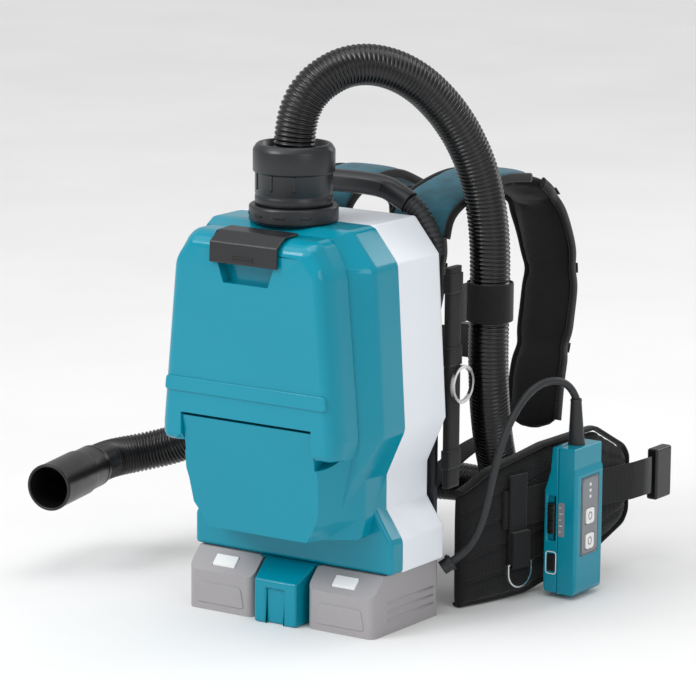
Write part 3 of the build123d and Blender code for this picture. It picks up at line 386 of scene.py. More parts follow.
def woven(name, colour, thread=700.0, height=0.00025, sheen=0.25, use_uv=True, stretch=1.0):
    """Woven cloth: two crossing sets of threads that go over and under, with lint and faded patches. The
    colour is darker in the gaps between the threads and lighter on their crowns, as painted shade of the
    weave's relief.
    """
    n = Nodes(name)
    place = n.uv_place() if use_uv else n.object_place()
    parts = n.add("ShaderNodeSeparateXYZ", {"Vector": place})
    x = n.maths("SINE", n.maths("MULTIPLY", parts.outputs["X"], thread * 2.0 * stretch))
    y = n.maths("SINE", n.maths("MULTIPLY", parts.outputs["Y" if use_uv else "Z"], thread * 2.0))
    over = n.maths("MULTIPLY", x, y)
    threads = n.maths("ADD", n.maths("ABSOLUTE", x), n.maths("ABSOLUTE", y))
    weave = n.maths("ADD", n.maths("MULTIPLY", over, 0.5), n.maths("MULTIPLY", threads, 0.5))
    lint = n.noise(n.object_place(), 60.0, 6.0, 0.65)
    # painted shade: the colour follows the weave's height, darker in the gaps between threads; the lint
    # noise below is the cloth's own tone
    weave_gap_shade = n.maths("MULTIPLY", n.between(weave, 0.3, 0.7), 0.6)
    weave_shade_and_lint = n.maths("ADD", weave_gap_shade, n.maths("MULTIPLY", lint, 0.4))
    n.set(
        Base_Color=n.ramp(weave_shade_and_lint, shade(colour, 0.55), shade(colour, 1.7)),
        Roughness=n.between(lint, 0.72, 0.95), Sheen_Weight=sheen, Sheen_Roughness=0.45,
        Specular_IOR_Level=0.25)
    n.bump(weave, 0.7, height)
    return n.material


def plated(name):
    """Bright plated steel with fine scratches."""
    n = Nodes(name)
    place = n.object_place()
    n.set(
        Base_Color=(0.80, 0.79, 0.77, 1), Metallic=1.0,
        Roughness=n.between(n.noise(place, 240.0, 6.0, 0.7), 0.12, 0.34))
    n.bump(n.noise(place, 1500.0, 2.0), 0.15, 0.00002)
    return n.material


def make_materials():
    s = settings()
    black = (0.0045, 0.0045, 0.0052)
    made = {
        "teal_gloss": moulded("teal_gloss", tuple(s.casing_colour), 0.10, 0.19, mottle=0.02, shine=0.35),
        "pale_shell": moulded("pale_shell", tuple(s.shell_colour), 0.30, 0.33, mottle=0.006,
                              grain_height=0.000008),
        "dark_trim": moulded("dark_trim", (0.012, 0.0135, 0.016), 0.28, 0.42),
        "black_plastic": moulded("black_plastic", (0.0045, 0.0045, 0.005), 0.26, 0.40),
        "hose_black": moulded("hose_black", (0.0022, 0.0022, 0.0025), 0.16, 0.30, grain=500),
        "cable_rubber": moulded("cable_rubber", (0.014, 0.016, 0.018), 0.42, 0.56),
        "battery_grey": moulded("battery_grey", (0.33, 0.315, 0.325), 0.32, 0.46, mottle=0.03),
        "button_white": moulded("button_white", (0.82, 0.82, 0.81), 0.30, 0.42, mottle=0.01),
        "panel_grey": moulded("panel_grey", (0.21, 0.225, 0.245), 0.36, 0.5, mottle=0.02),
        "steel": plated("steel"),
        "board": moulded("board", (0.01, 0.12, 0.05), 0.4, 0.6, mottle=0.2),
        "filter_paper": woven("filter_paper", (0.6, 0.58, 0.52), 300.0, use_uv=False),
        "padding_black": woven("padding_black", black, 1100.0, 0.0003),
        "padding_teal": woven("padding_teal", tuple(s.yoke_colour), 1600.0, 0.00012, sheen=0.15),
        "webbing": woven("webbing", black, 1500.0, 0.0003, stretch=0.55),
        "white_print": moulded("white_print", (0.8, 0.8, 0.8), 0.3, 0.4, mottle=0.01),
    }
    made["padding_solid"] = woven("padding_solid", black, 1100.0, 0.0003, use_uv=False)
    return made


MATERIALS = {}


def finish_piece(piece, material, body=ROOT_BODY, replaces=()):
    """Gives a piece its finish, its body and the CAD nodes that it stands for."""
    piece.data.materials.clear()
    piece.data.materials.append(MATERIALS[material])
    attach(piece, body)
    if replaces:
        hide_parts(*replaces)
    return piece


# ---------------------------------------------------------------- swept pieces
def section_loop(count, width, thick, power=5.0):
    """A superellipse, |x / a|^p + |y / b|^p = 1, as count points round it."""
    t = np.arange(count) / count * 2 * math.pi
    c, s = np.cos(t), np.sin(t)
    x = np.sign(c) * np.abs(c) ** (2 / power) * width / 2
    y = np.sign(s) * np.abs(s) ** (2 / power) * thick / 2
    return np.stack([x, y], 1)


def swept(name, path, across, width, thick, power=5.0, count=40, crown=0.0):
    """A closed bar along a path: at each point its section is a superellipse, with its width along
    across and its thickness along tangent x across. width and thick may change along the path.
    crown lifts the middle of each face by crown x (1 - x^2), for x from -1 to 1 over the width."""
    path = np.asarray(path, float)
    n = len(path)
    tangent = tangents(path)
    across = np.broadcast_to(np.asarray(across, float), path.shape).copy()
    across -= tangent * np.sum(across * tangent, 1)[:, None]
    across /= np.linalg.norm(across, axis=1)[:, None]
    out = np.cross(tangent, across)
    loop = section_loop(count, 2.0, 2.0, power)
    w = np.broadcast_to(width, n)[:, None] / 2
    t = np.broadcast_to(thick, n)[:, None] / 2
    x = loop[None, :, 0] * w
    y = loop[None, :, 1] * (t + crown * (1 - loop[None, :, 0] ** 2) * (t > 1e-4))
    rings = path[:, None] + across[:, None] * x[..., None] + out[:, None] * y[..., None]
    return close_ends(grid_piece(name, rings, close_v=True), n, count)


def rounded_ends(count, full, radius, length, power=2.0):
    """A width along a bar that is drawn in near both ends as a superellipse quarter of that radius."""
    at = np.linspace(0, length, count)
    near = np.clip(np.minimum(at, length - at) / radius, 0, 1)
    return full * np.maximum((1 - (1 - near) ** power) ** (1 / power), 0.06)


def turned_piece(name, profile, centre, axis=(0, 0, 1), count=96):
    """A surface of revolution: profile holds (radius, height) pairs, turned about an axis."""
    axis = Vector(axis).normalized()
    turn = np.array(axis.to_track_quat("Z", "Y").to_matrix())
    t = np.arange(count) / count * 2 * math.pi
    profile = np.asarray(profile, float)
    x = profile[:, None, 0] * np.cos(t)
    y = profile[:, None, 0] * np.sin(t)
    z = np.broadcast_to(profile[:, 1, None], x.shape)
    points = np.stack([x, y, z], -1) @ turn.T + np.asarray(centre)
    return tidy_normals(grid_piece(name, points, close_v=True))


def inflated(piece, pressure=4.0, voxel=5 * MM, cap=4 * MM, frames=20):
    """Stuffs a closed form: remeshes it, blows it up as cloth and caps how far each point moved."""
    bpy.context.view_layer.objects.active = piece
    add_modifier(piece, "REMESH", mode="VOXEL", voxel_size=voxel, use_smooth_shade=True)
    bake_modifiers(piece)
    rest = vertex_places(piece)
    cloth = add_modifier(piece, "CLOTH")
    cloth.settings.use_pressure = True
    cloth.settings.uniform_pressure_force = pressure
    cloth.settings.effector_weights.gravity = 0
    cloth.settings.quality = 5
    scene = bpy.context.scene
    cloth.point_cache.frame_end = frames
    for frame_number in range(1, frames + 1):
        scene.frame_set(frame_number)
    bake_modifiers(piece)
    moved = vertex_places(piece) - rest
    far = np.linalg.norm(moved, axis=1)[:, None]
    piece.data.vertices.foreach_set(
        "co", (rest + moved * np.minimum(1, cap / np.maximum(far, 1e-9))).astype(np.float32).ravel())
    scene.frame_set(1)
    add_modifier(piece, "SUBSURF", levels=1, render_levels=1)
    bake_modifiers(piece)
    shade_smooth(piece.data)
    return piece


def vertex_places(piece):
    found = np.empty(len(piece.data.vertices) * 3)
    piece.data.vertices.foreach_get("co", found)
    return found.reshape(-1, 3)


def place_vertices(piece, points):
    piece.data.vertices.foreach_set("co", points.astype(np.float32).ravel())
    piece.data.update()


def bake_modifiers(piece):
    """Puts what the modifiers give into the piece's own mesh."""
    bpy.context.view_layer.update()
    graph = bpy.context.evaluated_depsgraph_get()
    made = bpy.data.meshes.new_from_object(piece.evaluated_get(graph))
    piece.modifiers.clear()
    old = piece.data
    piece.data = made
    bpy.data.meshes.remove(old)


def spline_through(points, count):
    """A Catmull-Rom curve through the points, at count steps."""
    p = np.asarray(points, float)
    p = np.vstack([2 * p[0] - p[1], p, 2 * p[-1] - p[-2]])
    at = np.linspace(0, len(p) - 3 - 1e-9, count)
    i = at.astype(int)
    t = (at - i)[:, None]
    a, b, c, d = p[i], p[i + 1], p[i + 2], p[i + 3]
    return 0.5 * (2 * b + (c - a) * t + (2 * a - 5 * b + 4 * c - d) * t ** 2
                  + (3 * b - 3 * c + d - a) * t ** 3)


# ---------------------------------------------------------------- operators
class VACUUM_OT_stage(bpy.types.Operator):
    """Adds the pale floor, the soft studio lights and the camera"""

    bl_idname = "vacuum.stage"
    bl_label = "Stage"

    def execute(self, context):
        floor_mesh = bpy.data.meshes.new("floor")
        side = 30.0
        floor_mesh.from_pydata(
            [(-side, -side, 0), (side, -side, 0), (side, side, 0), (-side, side, 0)], [], [(0, 1, 2, 3)])
        floor = linked("floor", floor_mesh)
        n = Nodes("floor_paper")
        n.set(Base_Color=n.ramp(n.noise(n.object_place(), 3.0, 4.0), (0.80, 0.80, 0.80), (0.84, 0.84, 0.84)),
              Roughness=0.7)
        floor_mesh.materials.append(n.material)

        world = bpy.data.worlds.new("studio")
        context.scene.world = world
        world.use_nodes = True
        world.node_tree.nodes["Background"].inputs["Color"].default_value = (1, 1, 1, 1)
        world.node_tree.nodes["Background"].inputs["Strength"].default_value = 0.55

        lights = {
            "key": ((-1.1, -2.0, 1.9), 1.0, 26.0),
            "fill": ((2.2, -1.0, 1.2), 1.2, 9.0),
            "top": ((0.2, 0.3, 2.6), 1.2, 10.0),
            "rim": ((0.8, 2.4, 1.3), 1.0, 10.0),
        }
        for name, (place, size, power) in lights.items():
            lamp = bpy.data.lights.new(name, "AREA")
            lamp.shape = "SQUARE"
            lamp.size = size
            lamp.energy = power
            holder = linked(name, lamp)
            holder.location = place
            aim = Vector((0, 0, 0.25)) - Vector(place)
            holder.rotation_euler = aim.to_track_quat("-Z", "Y").to_euler()

        sun = bpy.data.lights.new("daylight", "SUN")
        sun.energy = 1.25
        sun.angle = math.radians(70)
        holder = linked("daylight", sun)
        holder.rotation_euler = (math.radians(28), math.radians(-14), 0)

        azimuth, elevation, roll = math.radians(34.16), math.radians(12.46), math.radians(0.40)
        towards = Vector((math.sin(azimuth) * math.cos(elevation),
                          -math.cos(azimuth) * math.cos(elevation), math.sin(elevation)))
        camera = bpy.data.cameras.new("camera")
        camera.sensor_width = 36.0
        camera.lens = 207.93
        camera.shift_x = 0.0313
        camera.shift_y = 0.0935
        camera.clip_end = 100
        holder = linked("camera", camera)
        holder.location = Vector((0, 0, 0.190)) + towards * 3.831
        turn = (-towards).to_track_quat("-Z", "Y") @ Matrix.Rotation(roll, 3, "Z").to_quaternion()
        holder.rotation_euler = turn.to_euler()
        context.scene.camera = holder
        context.scene.view_settings.view_transform = "Standard"
        return {"FINISHED"}


def carried_materials():
    """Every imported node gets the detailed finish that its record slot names."""
    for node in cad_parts.values():
        for i, old in enumerate(node.data.materials):
            name = old.name.split(".")[0] if old else "dark_trim"
            if name in MATERIALS:
                node.data.materials[i] = MATERIALS[name]


def make_end_cuff():
    """The smooth sleeve on the hose's free end, a turned profile along the hose's last direction."""
    start = HOSE_ROUTE[-1]
    away = HOSE_ROUTE[-1] - HOSE_ROUTE[-2]
    away /= np.linalg.norm(away)
    profile = np.array([
        (19.6, -1.5), (20.9, -1.2), (21.5, 0), (21.5, 5), (21.2, 5.6), (21.5, 6.2), (21.5, 25), (22.2, 29),
        (23.0, 31), (23.0, 88), (23.5, 88.6), (23.5, 91.2), (22.9, 92), (21.2, 92), (20.6, 91.2),
        (20.5, 40), (20.3, 2.2), (19.6, 2), (19.6, -1.5)]) * MM
    end_cuff = turned_piece("end_cuff_sleeve", profile, start, away)
    finish_piece(end_cuff, "black_plastic", "end_cuff", replaces=("hose_end_cuff",))
    return end_cuff


class VACUUM_OT_hose(bpy.types.Operator):
    """Builds the ribbed suction hose from the cuff to its end cuff"""

    bl_idname = "vacuum.hose"
    bl_label = "Hose"

    def execute(self, context):
        s = settings()
        path = route_points(HOSE_ROUTE)
        length = line_length(path)
        ribs = int(length / s.rib_pitch)
        dense = resampled(path, ribs * 6 + 1)[0]
        tangent, side, up = frames_along(dense)
        # radius = R - depth x (1 - |sin(pi s / pitch)|^0.7): rounded ribs with narrow valleys
        at = np.linspace(0, ribs * math.pi, len(dense))
        outer = s.hose_diameter / 2
        radius = outer - 2.0 * MM * (1 - np.abs(np.sin(at)) ** 0.7)
        t = np.arange(40) / 40 * 2 * math.pi
        ring = side[:, None] * np.cos(t)[None, :, None] + up[:, None] * np.sin(t)[None, :, None]
        points = dense[:, None] + ring * radius[:, None, None]
        hose = tidy_normals(grid_piece("suction_hose", points, close_v=True))
        finish_piece(hose, "hose_black", replaces=("hose",))
        end_cuff = make_end_cuff()
        return {"FINISHED"}


class VACUUM_OT_cable(bpy.types.Operator):
    """Builds the control cable between the gland and the control box"""

    bl_idname = "vacuum.cable"
    bl_label = "Control cable"

    def execute(self, context):
        s = settings()
        cable = nurbs_route("control_cable", CABLE_ROUTE, s.cable_diameter / 2)
        finish_piece(cable, "cable_rubber", replaces=("cable",))
        return {"FINISHED"}


class VACUUM_OT_casing(bpy.types.Operator):
    """Rounds the moulded edges of the casing, lid, latch, centre block and batteries"""

    bl_idname = "vacuum.casing"
    bl_label = "Casing and batteries"

    def execute(self, context):
        soft = settings().edge_radius
        # node, finish, body, small radius in mm, broad radius, depth of the rim that stays sharp and
        # how far from the middle plane the broad rounding starts, both in mm
        moulded_nodes = (
            ("rear_housing", "pale_shell", ROOT_BODY, 1.0, soft * 1.6, -37, 0),
            ("front_housing", "teal_gloss", ROOT_BODY, 1.0, soft * 1.2, -37, 76),
            ("lid", "teal_gloss", "lid", 0.8, soft * 2, -95.6, 60),
            ("centre_block", "teal_gloss", ROOT_BODY, 1.0, soft * 0.8, None, 0),
            ("lid_latch", "dark_trim", "latch", 0.6, 1.4 * MM, None, 0),
            ("battery_left", "battery_grey", "battery_left", 1.2, 0, None, 0),
            ("battery_right", "battery_grey", "battery_right", 1.2, 0, None, 0),
            ("battery_button_left", "button_white", "battery_button_left", 0.8, 0, None, 0),
            ("battery_button_right", "button_white", "battery_button_right", 0.8, 0, None, 0),
            ("inlet_collar", "dark_trim", ROOT_BODY, 0.8, 0, None, 0),
            ("control_case_front", "teal_gloss", ROOT_BODY, 0.6, 1.6 * MM, None, 0),
            ("control_case_back", "teal_gloss", ROOT_BODY, 0.6, 1.6 * MM, None, 0),
            ("wireless_button", "black_plastic", "wireless_key", 0.5, 0, None, 0),
            ("belt_clip", "dark_trim", ROOT_BODY, 0.8, 0, None, 0),
            ("back_plate", "dark_trim", ROOT_BODY, 1.2, 0, None, 0),
        )
        for node, material, body, radius, broad, rim, nearest in moulded_nodes:
            piece = softened_copy(node, "moulded_" + node, radius * MM, broad,
                                  rim * MM if rim is not None else None, bool(broad), nearest * MM)
            finish_piece(piece, material, body, replaces=(node,))
        return {"FINISHED"}


def plaque(name, outline, y, rise, soften):
    """A raised flat patch facing -Y: an outline in X and Z, pushed out by rise, edges rounded."""
    outline = np.asarray(outline, float)
    ring = np.stack([outline[:, 0], np.full(len(outline), y), outline[:, 1]], 1)
    front = ring - (0, rise, 0)
    middle = ring.mean(0)
    front = middle + (front - middle) * (0.985, 1, 0.985)
    piece = close_ends(grid_piece(name, np.stack([ring, front]), close_v=True), 2, len(outline))
    add_modifier(piece, "BEVEL", width=soften, segments=3, limit_method="ANGLE",
                 angle_limit=math.radians(25), harden_normals=True)
    return piece


def rounded_outline(corners, radius, steps=8):
    """A closed outline with each corner replaced by a quadratic arc that starts radius before it."""
    p = np.asarray(corners, float)
    before = np.roll(p, 1, 0) - p
    after = np.roll(p, -1, 0) - p
    reach = np.minimum(radius, 0.45 * np.minimum(
        np.linalg.norm(before, axis=1), np.linalg.norm(after, axis=1)))[:, None]
    a = p + before / np.linalg.norm(before, axis=1)[:, None] * reach
    b = p + after / np.linalg.norm(after, axis=1)[:, None] * reach
    t = np.linspace(0, 1, steps)[None, :, None]
    arcs = a[:, None] * (1 - t) ** 2 + 2 * p[:, None] * t * (1 - t) + b[:, None] * t ** 2
    return arcs.reshape(-1, 2)


class VACUUM_OT_lid_details(bpy.types.Operator):
    """Adds the raised band on the lid, the lips and ribs on the batteries, and the grip lines on the lid's
    latch
    """

    bl_idname = "vacuum.lid_details"
    bl_label = "Lid details"

    def execute(self, context):
        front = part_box("lid")[0].y
        latch_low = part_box("lid_latch")[0]
        band = plaque("lid_band", rounded_outline([
            (-92 * MM, 226 * MM), (92 * MM, 226 * MM), (90.5 * MM, 240 * MM), (-90.5 * MM, 240 * MM)],
            4 * MM), front + 0.6 * MM, 2.2 * MM, 0.9 * MM)
        finish_piece(band, "teal_gloss", "lid")
        for word, side in (("left", -1), ("right", 1)):
            pack_low, pack_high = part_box(f"battery_{word}")
            middle = (pack_low.x + pack_high.x) / 2
            lip = plaque(f"battery_lip_{word}", rounded_outline(np.array([
                (middle - 28 * MM, 7 * MM), (middle + 28 * MM, 7 * MM),
                (middle + 24 * MM, 27 * MM), (middle - 24 * MM, 27 * MM)]), 4 * MM),
                pack_low.y + 0.3 * MM, 1.2 * MM, 0.5 * MM)
            finish_piece(lip, "battery_grey", f"battery_{word}")
            for i, z in enumerate((14, 22, 30)):
                line = np.array([(0, -52, 0), (0, -10, 0), (0, 26, 0)]) * MM + (
                    pack_low.x if side < 0 else pack_high.x, 0, z * MM)
                groove = swept(f"battery_rib_{word}_{i}", line, (0, 0, 1), 2.2 * MM, 1.2 * MM,
                               power=3, count=16)
                finish_piece(groove, "battery_grey", f"battery_{word}")
        for i, z in enumerate((3.5, 6.5)):
            line = plaque(f"latch_grip_{i}", rounded_outline([
                (-12 * MM, latch_low.z + z * MM), (12 * MM, latch_low.z + z * MM),
                (12 * MM, latch_low.z + (z + 1.2) * MM), (-12 * MM, latch_low.z + (z + 1.2) * MM)],
                0.5 * MM, 4), latch_low.y + 0.2 * MM, 0.8 * MM, 0.25 * MM)
            finish_piece(line, "black_plastic", "latch")
        return {"FINISHED"}


class VACUUM_OT_cuffs(bpy.types.Operator):
    """Turns the swivel cuff on the casing, with its ribs, and adds dark bars as painted shade of the
    collar's notches
    """

    bl_idname = "vacuum.cuffs"
    bl_label = "Hose cuffs"

    def execute(self, context):
        low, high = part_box("hose_cuff")
        x, y = (low.x + high.x) / 2, (low.y + high.y) / 2
        bottom, top = low.z, high.z
        ring = 431 * MM
        profile = np.array([
            (31.2, bottom / MM), (36.0, bottom / MM), (36.5, bottom / MM + 0.6), (36.5, 408), (36.1, 408.6),
            (36.1, 410.4), (36.5, 411), (36.5, 429.6), (37.0, 430.6), (38.2, 431), (38.5, 431.6),
            (38.5, top / MM - 6.4), (38.1, top / MM - 5), (35.6, top / MM - 1.2), (34.4, top / MM - 0.2),
            (32.2, top / MM), (31.3, top / MM - 0.8), (30.6, 447), (29.8, 446.2), (20.2, 446), (20.0, 443.2),
            (31.2, 442.4), (31.2, bottom / MM)]) * MM
        cuff = turned_piece("swivel_cuff", profile, (x, y, 0))
        finish_piece(cuff, "dark_trim", "cuff", replaces=("hose_cuff",))
        # small ribs round the cuff: each a short bar that stands out of the wall
        for i, turn in enumerate(np.radians((-70, -35, 0, 35))):
            out = np.array((math.sin(turn), -math.cos(turn), 0))
            height = np.linspace(ring - 16 * MM, ring - 1 * MM, 6)[:, None]
            path = np.array((x, y, 0)) + out * 36.7 * MM + height * (0, 0, 1)
            rib = swept(f"cuff_rib_{i}", path, np.cross(out, (0, 0, 1)), 1.6 * MM, 1.2 * MM, count=12)
            finish_piece(rib, "dark_trim", "cuff")
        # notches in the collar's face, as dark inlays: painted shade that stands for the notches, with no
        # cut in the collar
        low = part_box("inlet_collar")[0]
        for i, turn in enumerate(np.radians((-52, -18, 16, 50))):
            out = np.array((math.sin(turn), -math.cos(turn), 0))
            side = np.cross(out, (0, 0, 1))
            place = np.array((x, y, low.z + 8 * MM)) + out * 42.0 * MM
            path = place + np.linspace(-5, 5, 6)[:, None] * side * MM
            mark = swept(f"collar_notch_shade_{i}", path, (0, 0, 1), 2.4 * MM, 0.8 * MM, count=12)
            # the black finish on these bars is painted shade of the notches
            finish_piece(mark, "black_plastic", ROOT_BODY)
        return {"FINISHED"}


# each side's yoke and shoulder strap, as points of depth and height in mm
HARNESS_SIDES = (
    (1, "right", [(66, 354), (78, 379), (115, 394), (170, 402), (228, 396.5)],
     [(233, 392.5), (270, 362), (290, 302), (274, 242), (252, 194), (236, 143)]),
    (-1, "left", [(66, 354), (78, 380), (112, 396), (160, 398), (213, 379)],
     [(219, 374), (254, 345), (274, 292), (268, 237), (250, 189), (236, 143)]),
)
STRAP_LEAN = 0.1
STRAP_TOP = 390 * MM


def strap_path(side, strap):
    """A shoulder strap's middle line, which spreads outwards by tan(lean) x the drop from its top,
    and the direction of its width."""
    flat = spline_through(strap, 110)
    z = flat[:, 1] * MM
    x = side * (62 * MM + (STRAP_TOP - z) * math.tan(STRAP_LEAN))
    lean = np.array((math.cos(STRAP_LEAN), 0, side * math.sin(STRAP_LEAN)))
    return np.stack([x, flat[:, 0] * MM, z], 1), lean


class VACUUM_OT_harness_pads(bpy.types.Operator):
    """Builds the stuffed shoulder straps, yokes, back pads and belt wings"""

    bl_idname = "vacuum.harness_pads"
    bl_label = "Harness pads"

    def execute(self, context):
        for side, word, yoke, strap in HARNESS_SIDES:
            flat = spline_through(yoke, 70)
            x = side * 58 * MM + 0 * flat[:, 0]
            path = np.stack([x, flat[:, 0] * MM, flat[:, 1] * MM], 1)
            length = line_length(path)
            width = rounded_ends(len(path), 66 * MM, 12 * MM, length)
            pad = swept(f"yoke_pad_{word}", path, (1, 0, 0), width, 9.5 * MM, power=3.2, count=56,
                        crown=0.6 * MM)
            inflated(pad, voxel=4.5 * MM, cap=1.2 * MM)
            finish_piece(pad, "padding_teal", replaces=("shoulder_yokes",))
            # the bound edges follow the yoke's two sides
            for edge in (-1, 1):
                rim = path + np.array((edge * 32.5 * MM, 0, 0))
                bound = swept(f"yoke_binding_{word}_{'outer' if edge * side > 0 else 'inner'}", rim[3:-3],
                              (1, 0, 0), 5 * MM, 9 * MM, power=2.4, count=16)
                finish_piece(bound, "webbing")

            path, lean = strap_path(side, strap)
            length = line_length(path)
            # a strap gathers where its loops are sewn: width x (1 - 0.1 exp(-((t - t0) / 0.04)^2))
            share = np.linspace(0, 1, len(path))
            gather = sum(np.exp(-((share - at) / 0.04) ** 2) for at in (0.17, 0.42, 0.68))
            width = rounded_ends(len(path), 59 * MM, 16 * MM, length) * (1 - 0.1 * gather)
            pad = swept(f"shoulder_pad_{word}", path, lean, width, (12 - 2.5 * gather) * MM, power=3.0,
                        count=56, crown=0.8 * MM)
            inflated(pad, voxel=4.5 * MM, cap=1.6 * MM)
            finish_piece(pad, "padding_solid", replaces=(f"shoulder_strap_{word}",))
            for edge in (-1, 1):
                rim = path + lean * edge * 28.6 * MM * (1 - 0.1 * gather)[:, None]
                bound = swept(f"strap_binding_{word}_{'outer' if edge * side > 0 else 'inner'}", rim[4:-4],
                              lean, 4.5 * MM, 11 * MM, power=2.4, count=16)
                finish_piece(bound, "webbing")

        for node, word in (("back_pad", "back"), ("lumbar_pad", "lumbar")):
            low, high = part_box(node)
            n = 48
            z = np.linspace(low.z + 1.5 * MM, high.z - 1.5 * MM, n)
            path = np.stack([0 * z, 0 * z + (low.y + high.y) / 2, z], 1)
            width = rounded_ends(n, high.x - low.x - 3 * MM, 18 * MM, z[-1] - z[0])
            pad = swept(f"{word}_cushion", path, (1, 0, 0), width, 14.5 * MM, power=4.5, count=96)
            inflated(pad, voxel=5 * MM, cap=1.4 * MM)
            quilt_channels(pad, low, high)
            finish_piece(pad, "padding_solid", replaces=(node,))

        for side, word in ((1, "right"), (-1, "left")):
            wing = belt_wing(f"belt_pad_{word}", side)
            finish_piece(wing, "padding_solid", replaces=(f"belt_wing_{word}",))
        return {"FINISHED"}


def quilt_channels(piece, low, high):
    """Sewn channels: the back face goes in by 2.4 mm x exp(-(d / 2.2 mm)^2), d from the nearest line."""
    p = vertex_places(piece)
    height = high.z - low.z
    lines = low.z + height * np.array((0.25, 0.5, 0.75))
    d = np.abs(p[:, 2:3] - lines).min(1)
    d = np.minimum(d, np.abs(np.abs(p[:, 0]) - 26 * MM))
    face = smooth_step((low.y + high.y) / 2, high.y - 2 * MM, p[:, 1])
    p[:, 1] -= 2.4 * MM * np.exp(-(d / (2.2 * MM)) ** 2) * face
    place_vertices(piece, p)


WING_PLAN = np.array([(105, 64), (120, 112), (133, 174), (146, 245), (158, 300)]) * MM
WING_HIGH = np.array([
    (64, 112), (80, 119), (100, 130), (174, 145), (250, 150), (290, 126), (300, 108)]) * MM
WING_LOW = np.array([(64, 1.5), (150, 1.5), (250, 26), (290, 47), (300, 66)]) * MM
WING_SEAMS = (0.2, 0.4, 0.6, 0.8)


def belt_wing(name, side):
    """A belt wing: its middle follows a plan curve, its height runs between two edges that are
    functions of depth, and its sewn lines are grooves of 1.8 mm x exp(-(d / 1.8 mm)^2)."""
    path = spline_through(WING_PLAN, 90)
    tangent = tangents(path)
    out = np.stack([tangent[:, 1], -tangent[:, 0]], 1)
    y = path[:, 1]
    top, bottom = wing_edges(y)
    loop = section_loop(72, 2.0, 2.0, 3.6)
    z = (top + bottom)[:, None] / 2 + (top - bottom)[:, None] / 2 * loop[None, :, 0]
    ends = rounded_ends(len(path), 1.0, 9 * MM, 240 * MM)[:, None]
    d = loop[None, :, 1] * 6.6 * MM * ends
    x = path[:, :1] + out[:, :1] * d
    yy = path[:, 1:] + out[:, 1:] * d
    points = np.stack([side * x, yy, z], -1)
    piece = close_ends(grid_piece(name, points, close_v=True), len(path), len(loop))
    inflated(piece, voxel=5 * MM, cap=1.6 * MM)
    p = vertex_places(piece)
    nearest = np.interp(p[:, 1], path[:, 1], path[:, 0])
    away = np.abs(p[:, 0]) - nearest
    groove = np.zeros(len(p))
    for share in WING_SEAMS:
        line = np.interp(p[:, 1], y, bottom + (top - bottom) * share)
        groove = np.maximum(groove, np.exp(-((p[:, 2] - line) / (1.8 * MM)) ** 2))
    p[:, 0] -= side * np.sign(away) * 1.8 * MM * groove * smooth_step(2 * MM, 5 * MM, np.abs(away))
    place_vertices(piece, p)
    return piece


def wing_edges(y):
    """The heights of a belt wing's top and bottom edges at each depth."""
    top = np.interp(y, WING_HIGH[:, 0], WING_HIGH[:, 1])
    return top, np.interp(y, WING_LOW[:, 0], WING_LOW[:, 1])


def wing_offset(distance, side, count):
    """A line beside the wing's middle, as X, Y points."""
    path = spline_through(WING_PLAN, count)
    tangent = tangents(path)
    moved = path + np.stack([tangent[:, 1], -tangent[:, 0]], 1) * distance
    moved[:, 0] *= side
    return moved


class VACUUM_OT_webbing(bpy.types.Operator):
    """Builds the woven webbings, side straps with their loops, and the chest strap"""

    bl_idname = "vacuum.webbing"
    bl_label = "Webbings"

    def execute(self, context):
        for side, word in ((1, "right"), (-1, "left")):
            flat = spline_through([(227, 136.5), (205, 137), (150, 129), (66, 101)], 60)
            path = np.stack([side * 56 * MM + 0 * flat[:, 0], flat[:, 0] * MM, flat[:, 1] * MM], 1)
            web = swept(f"adjuster_web_{word}", path, (1, 0, 0), 25 * MM, 1.8 * MM, power=6)
            finish_piece(web, "webbing", replaces=("strap_webbings",))

            line = wing_offset(9.9 * MM, side, 70)
            line = line[line[:, 1] > 0.110]
            tail = np.array([(side * 0.170, 0.329)])
            line = np.vstack([line, line[-1] * 0.5 + tail * 0.5, tail])
            path = np.stack([line[:, 0], line[:, 1], 0 * line[:, 0] + 90 * MM], 1)
            web = swept(f"belt_web_{word}", path, (0, 0, 1), 37.5 * MM, 1.9 * MM, power=6)
            finish_piece(web, "webbing", replaces=("belt_webbings",))

            low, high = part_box("side_straps")
            z = np.linspace(low.z + 0.5 * MM, high.z - 0.5 * MM, 60)
            path = np.stack([side * 107 * MM + 0 * z, 0 * z + 54 * MM, z], 1)
            strap = swept(f"side_strap_{word}", path, (0, 1, 0), 23 * MM, 7.2 * MM, power=4)
            finish_piece(strap, "webbing", replaces=("side_straps",))
            for i, height in enumerate((150, 250, 320)):
                loop_path = np.stack([
                    side * 107 * MM + 0 * z[:8], 0 * z[:8] + 54 * MM,
                    np.linspace(height - 9, height + 9, 8) * MM], 1)
                tab = swept(f"side_loop_{word}_{i}", loop_path, (0, 1, 0), 24.6 * MM, 9.2 * MM, power=6)
                finish_piece(tab, "webbing")
            path = np.array([(side * 22.8, 262, 218), (side * 30, 262, 218), (side * 39.5, 262, 218)]) * MM
            chest = swept(f"chest_web_{word}", path, (0, 0, 1), 23.5 * MM, 1.8 * MM, power=6)
            finish_piece(chest, "webbing", replaces=("chest_straps",))
        return {"FINISHED"}


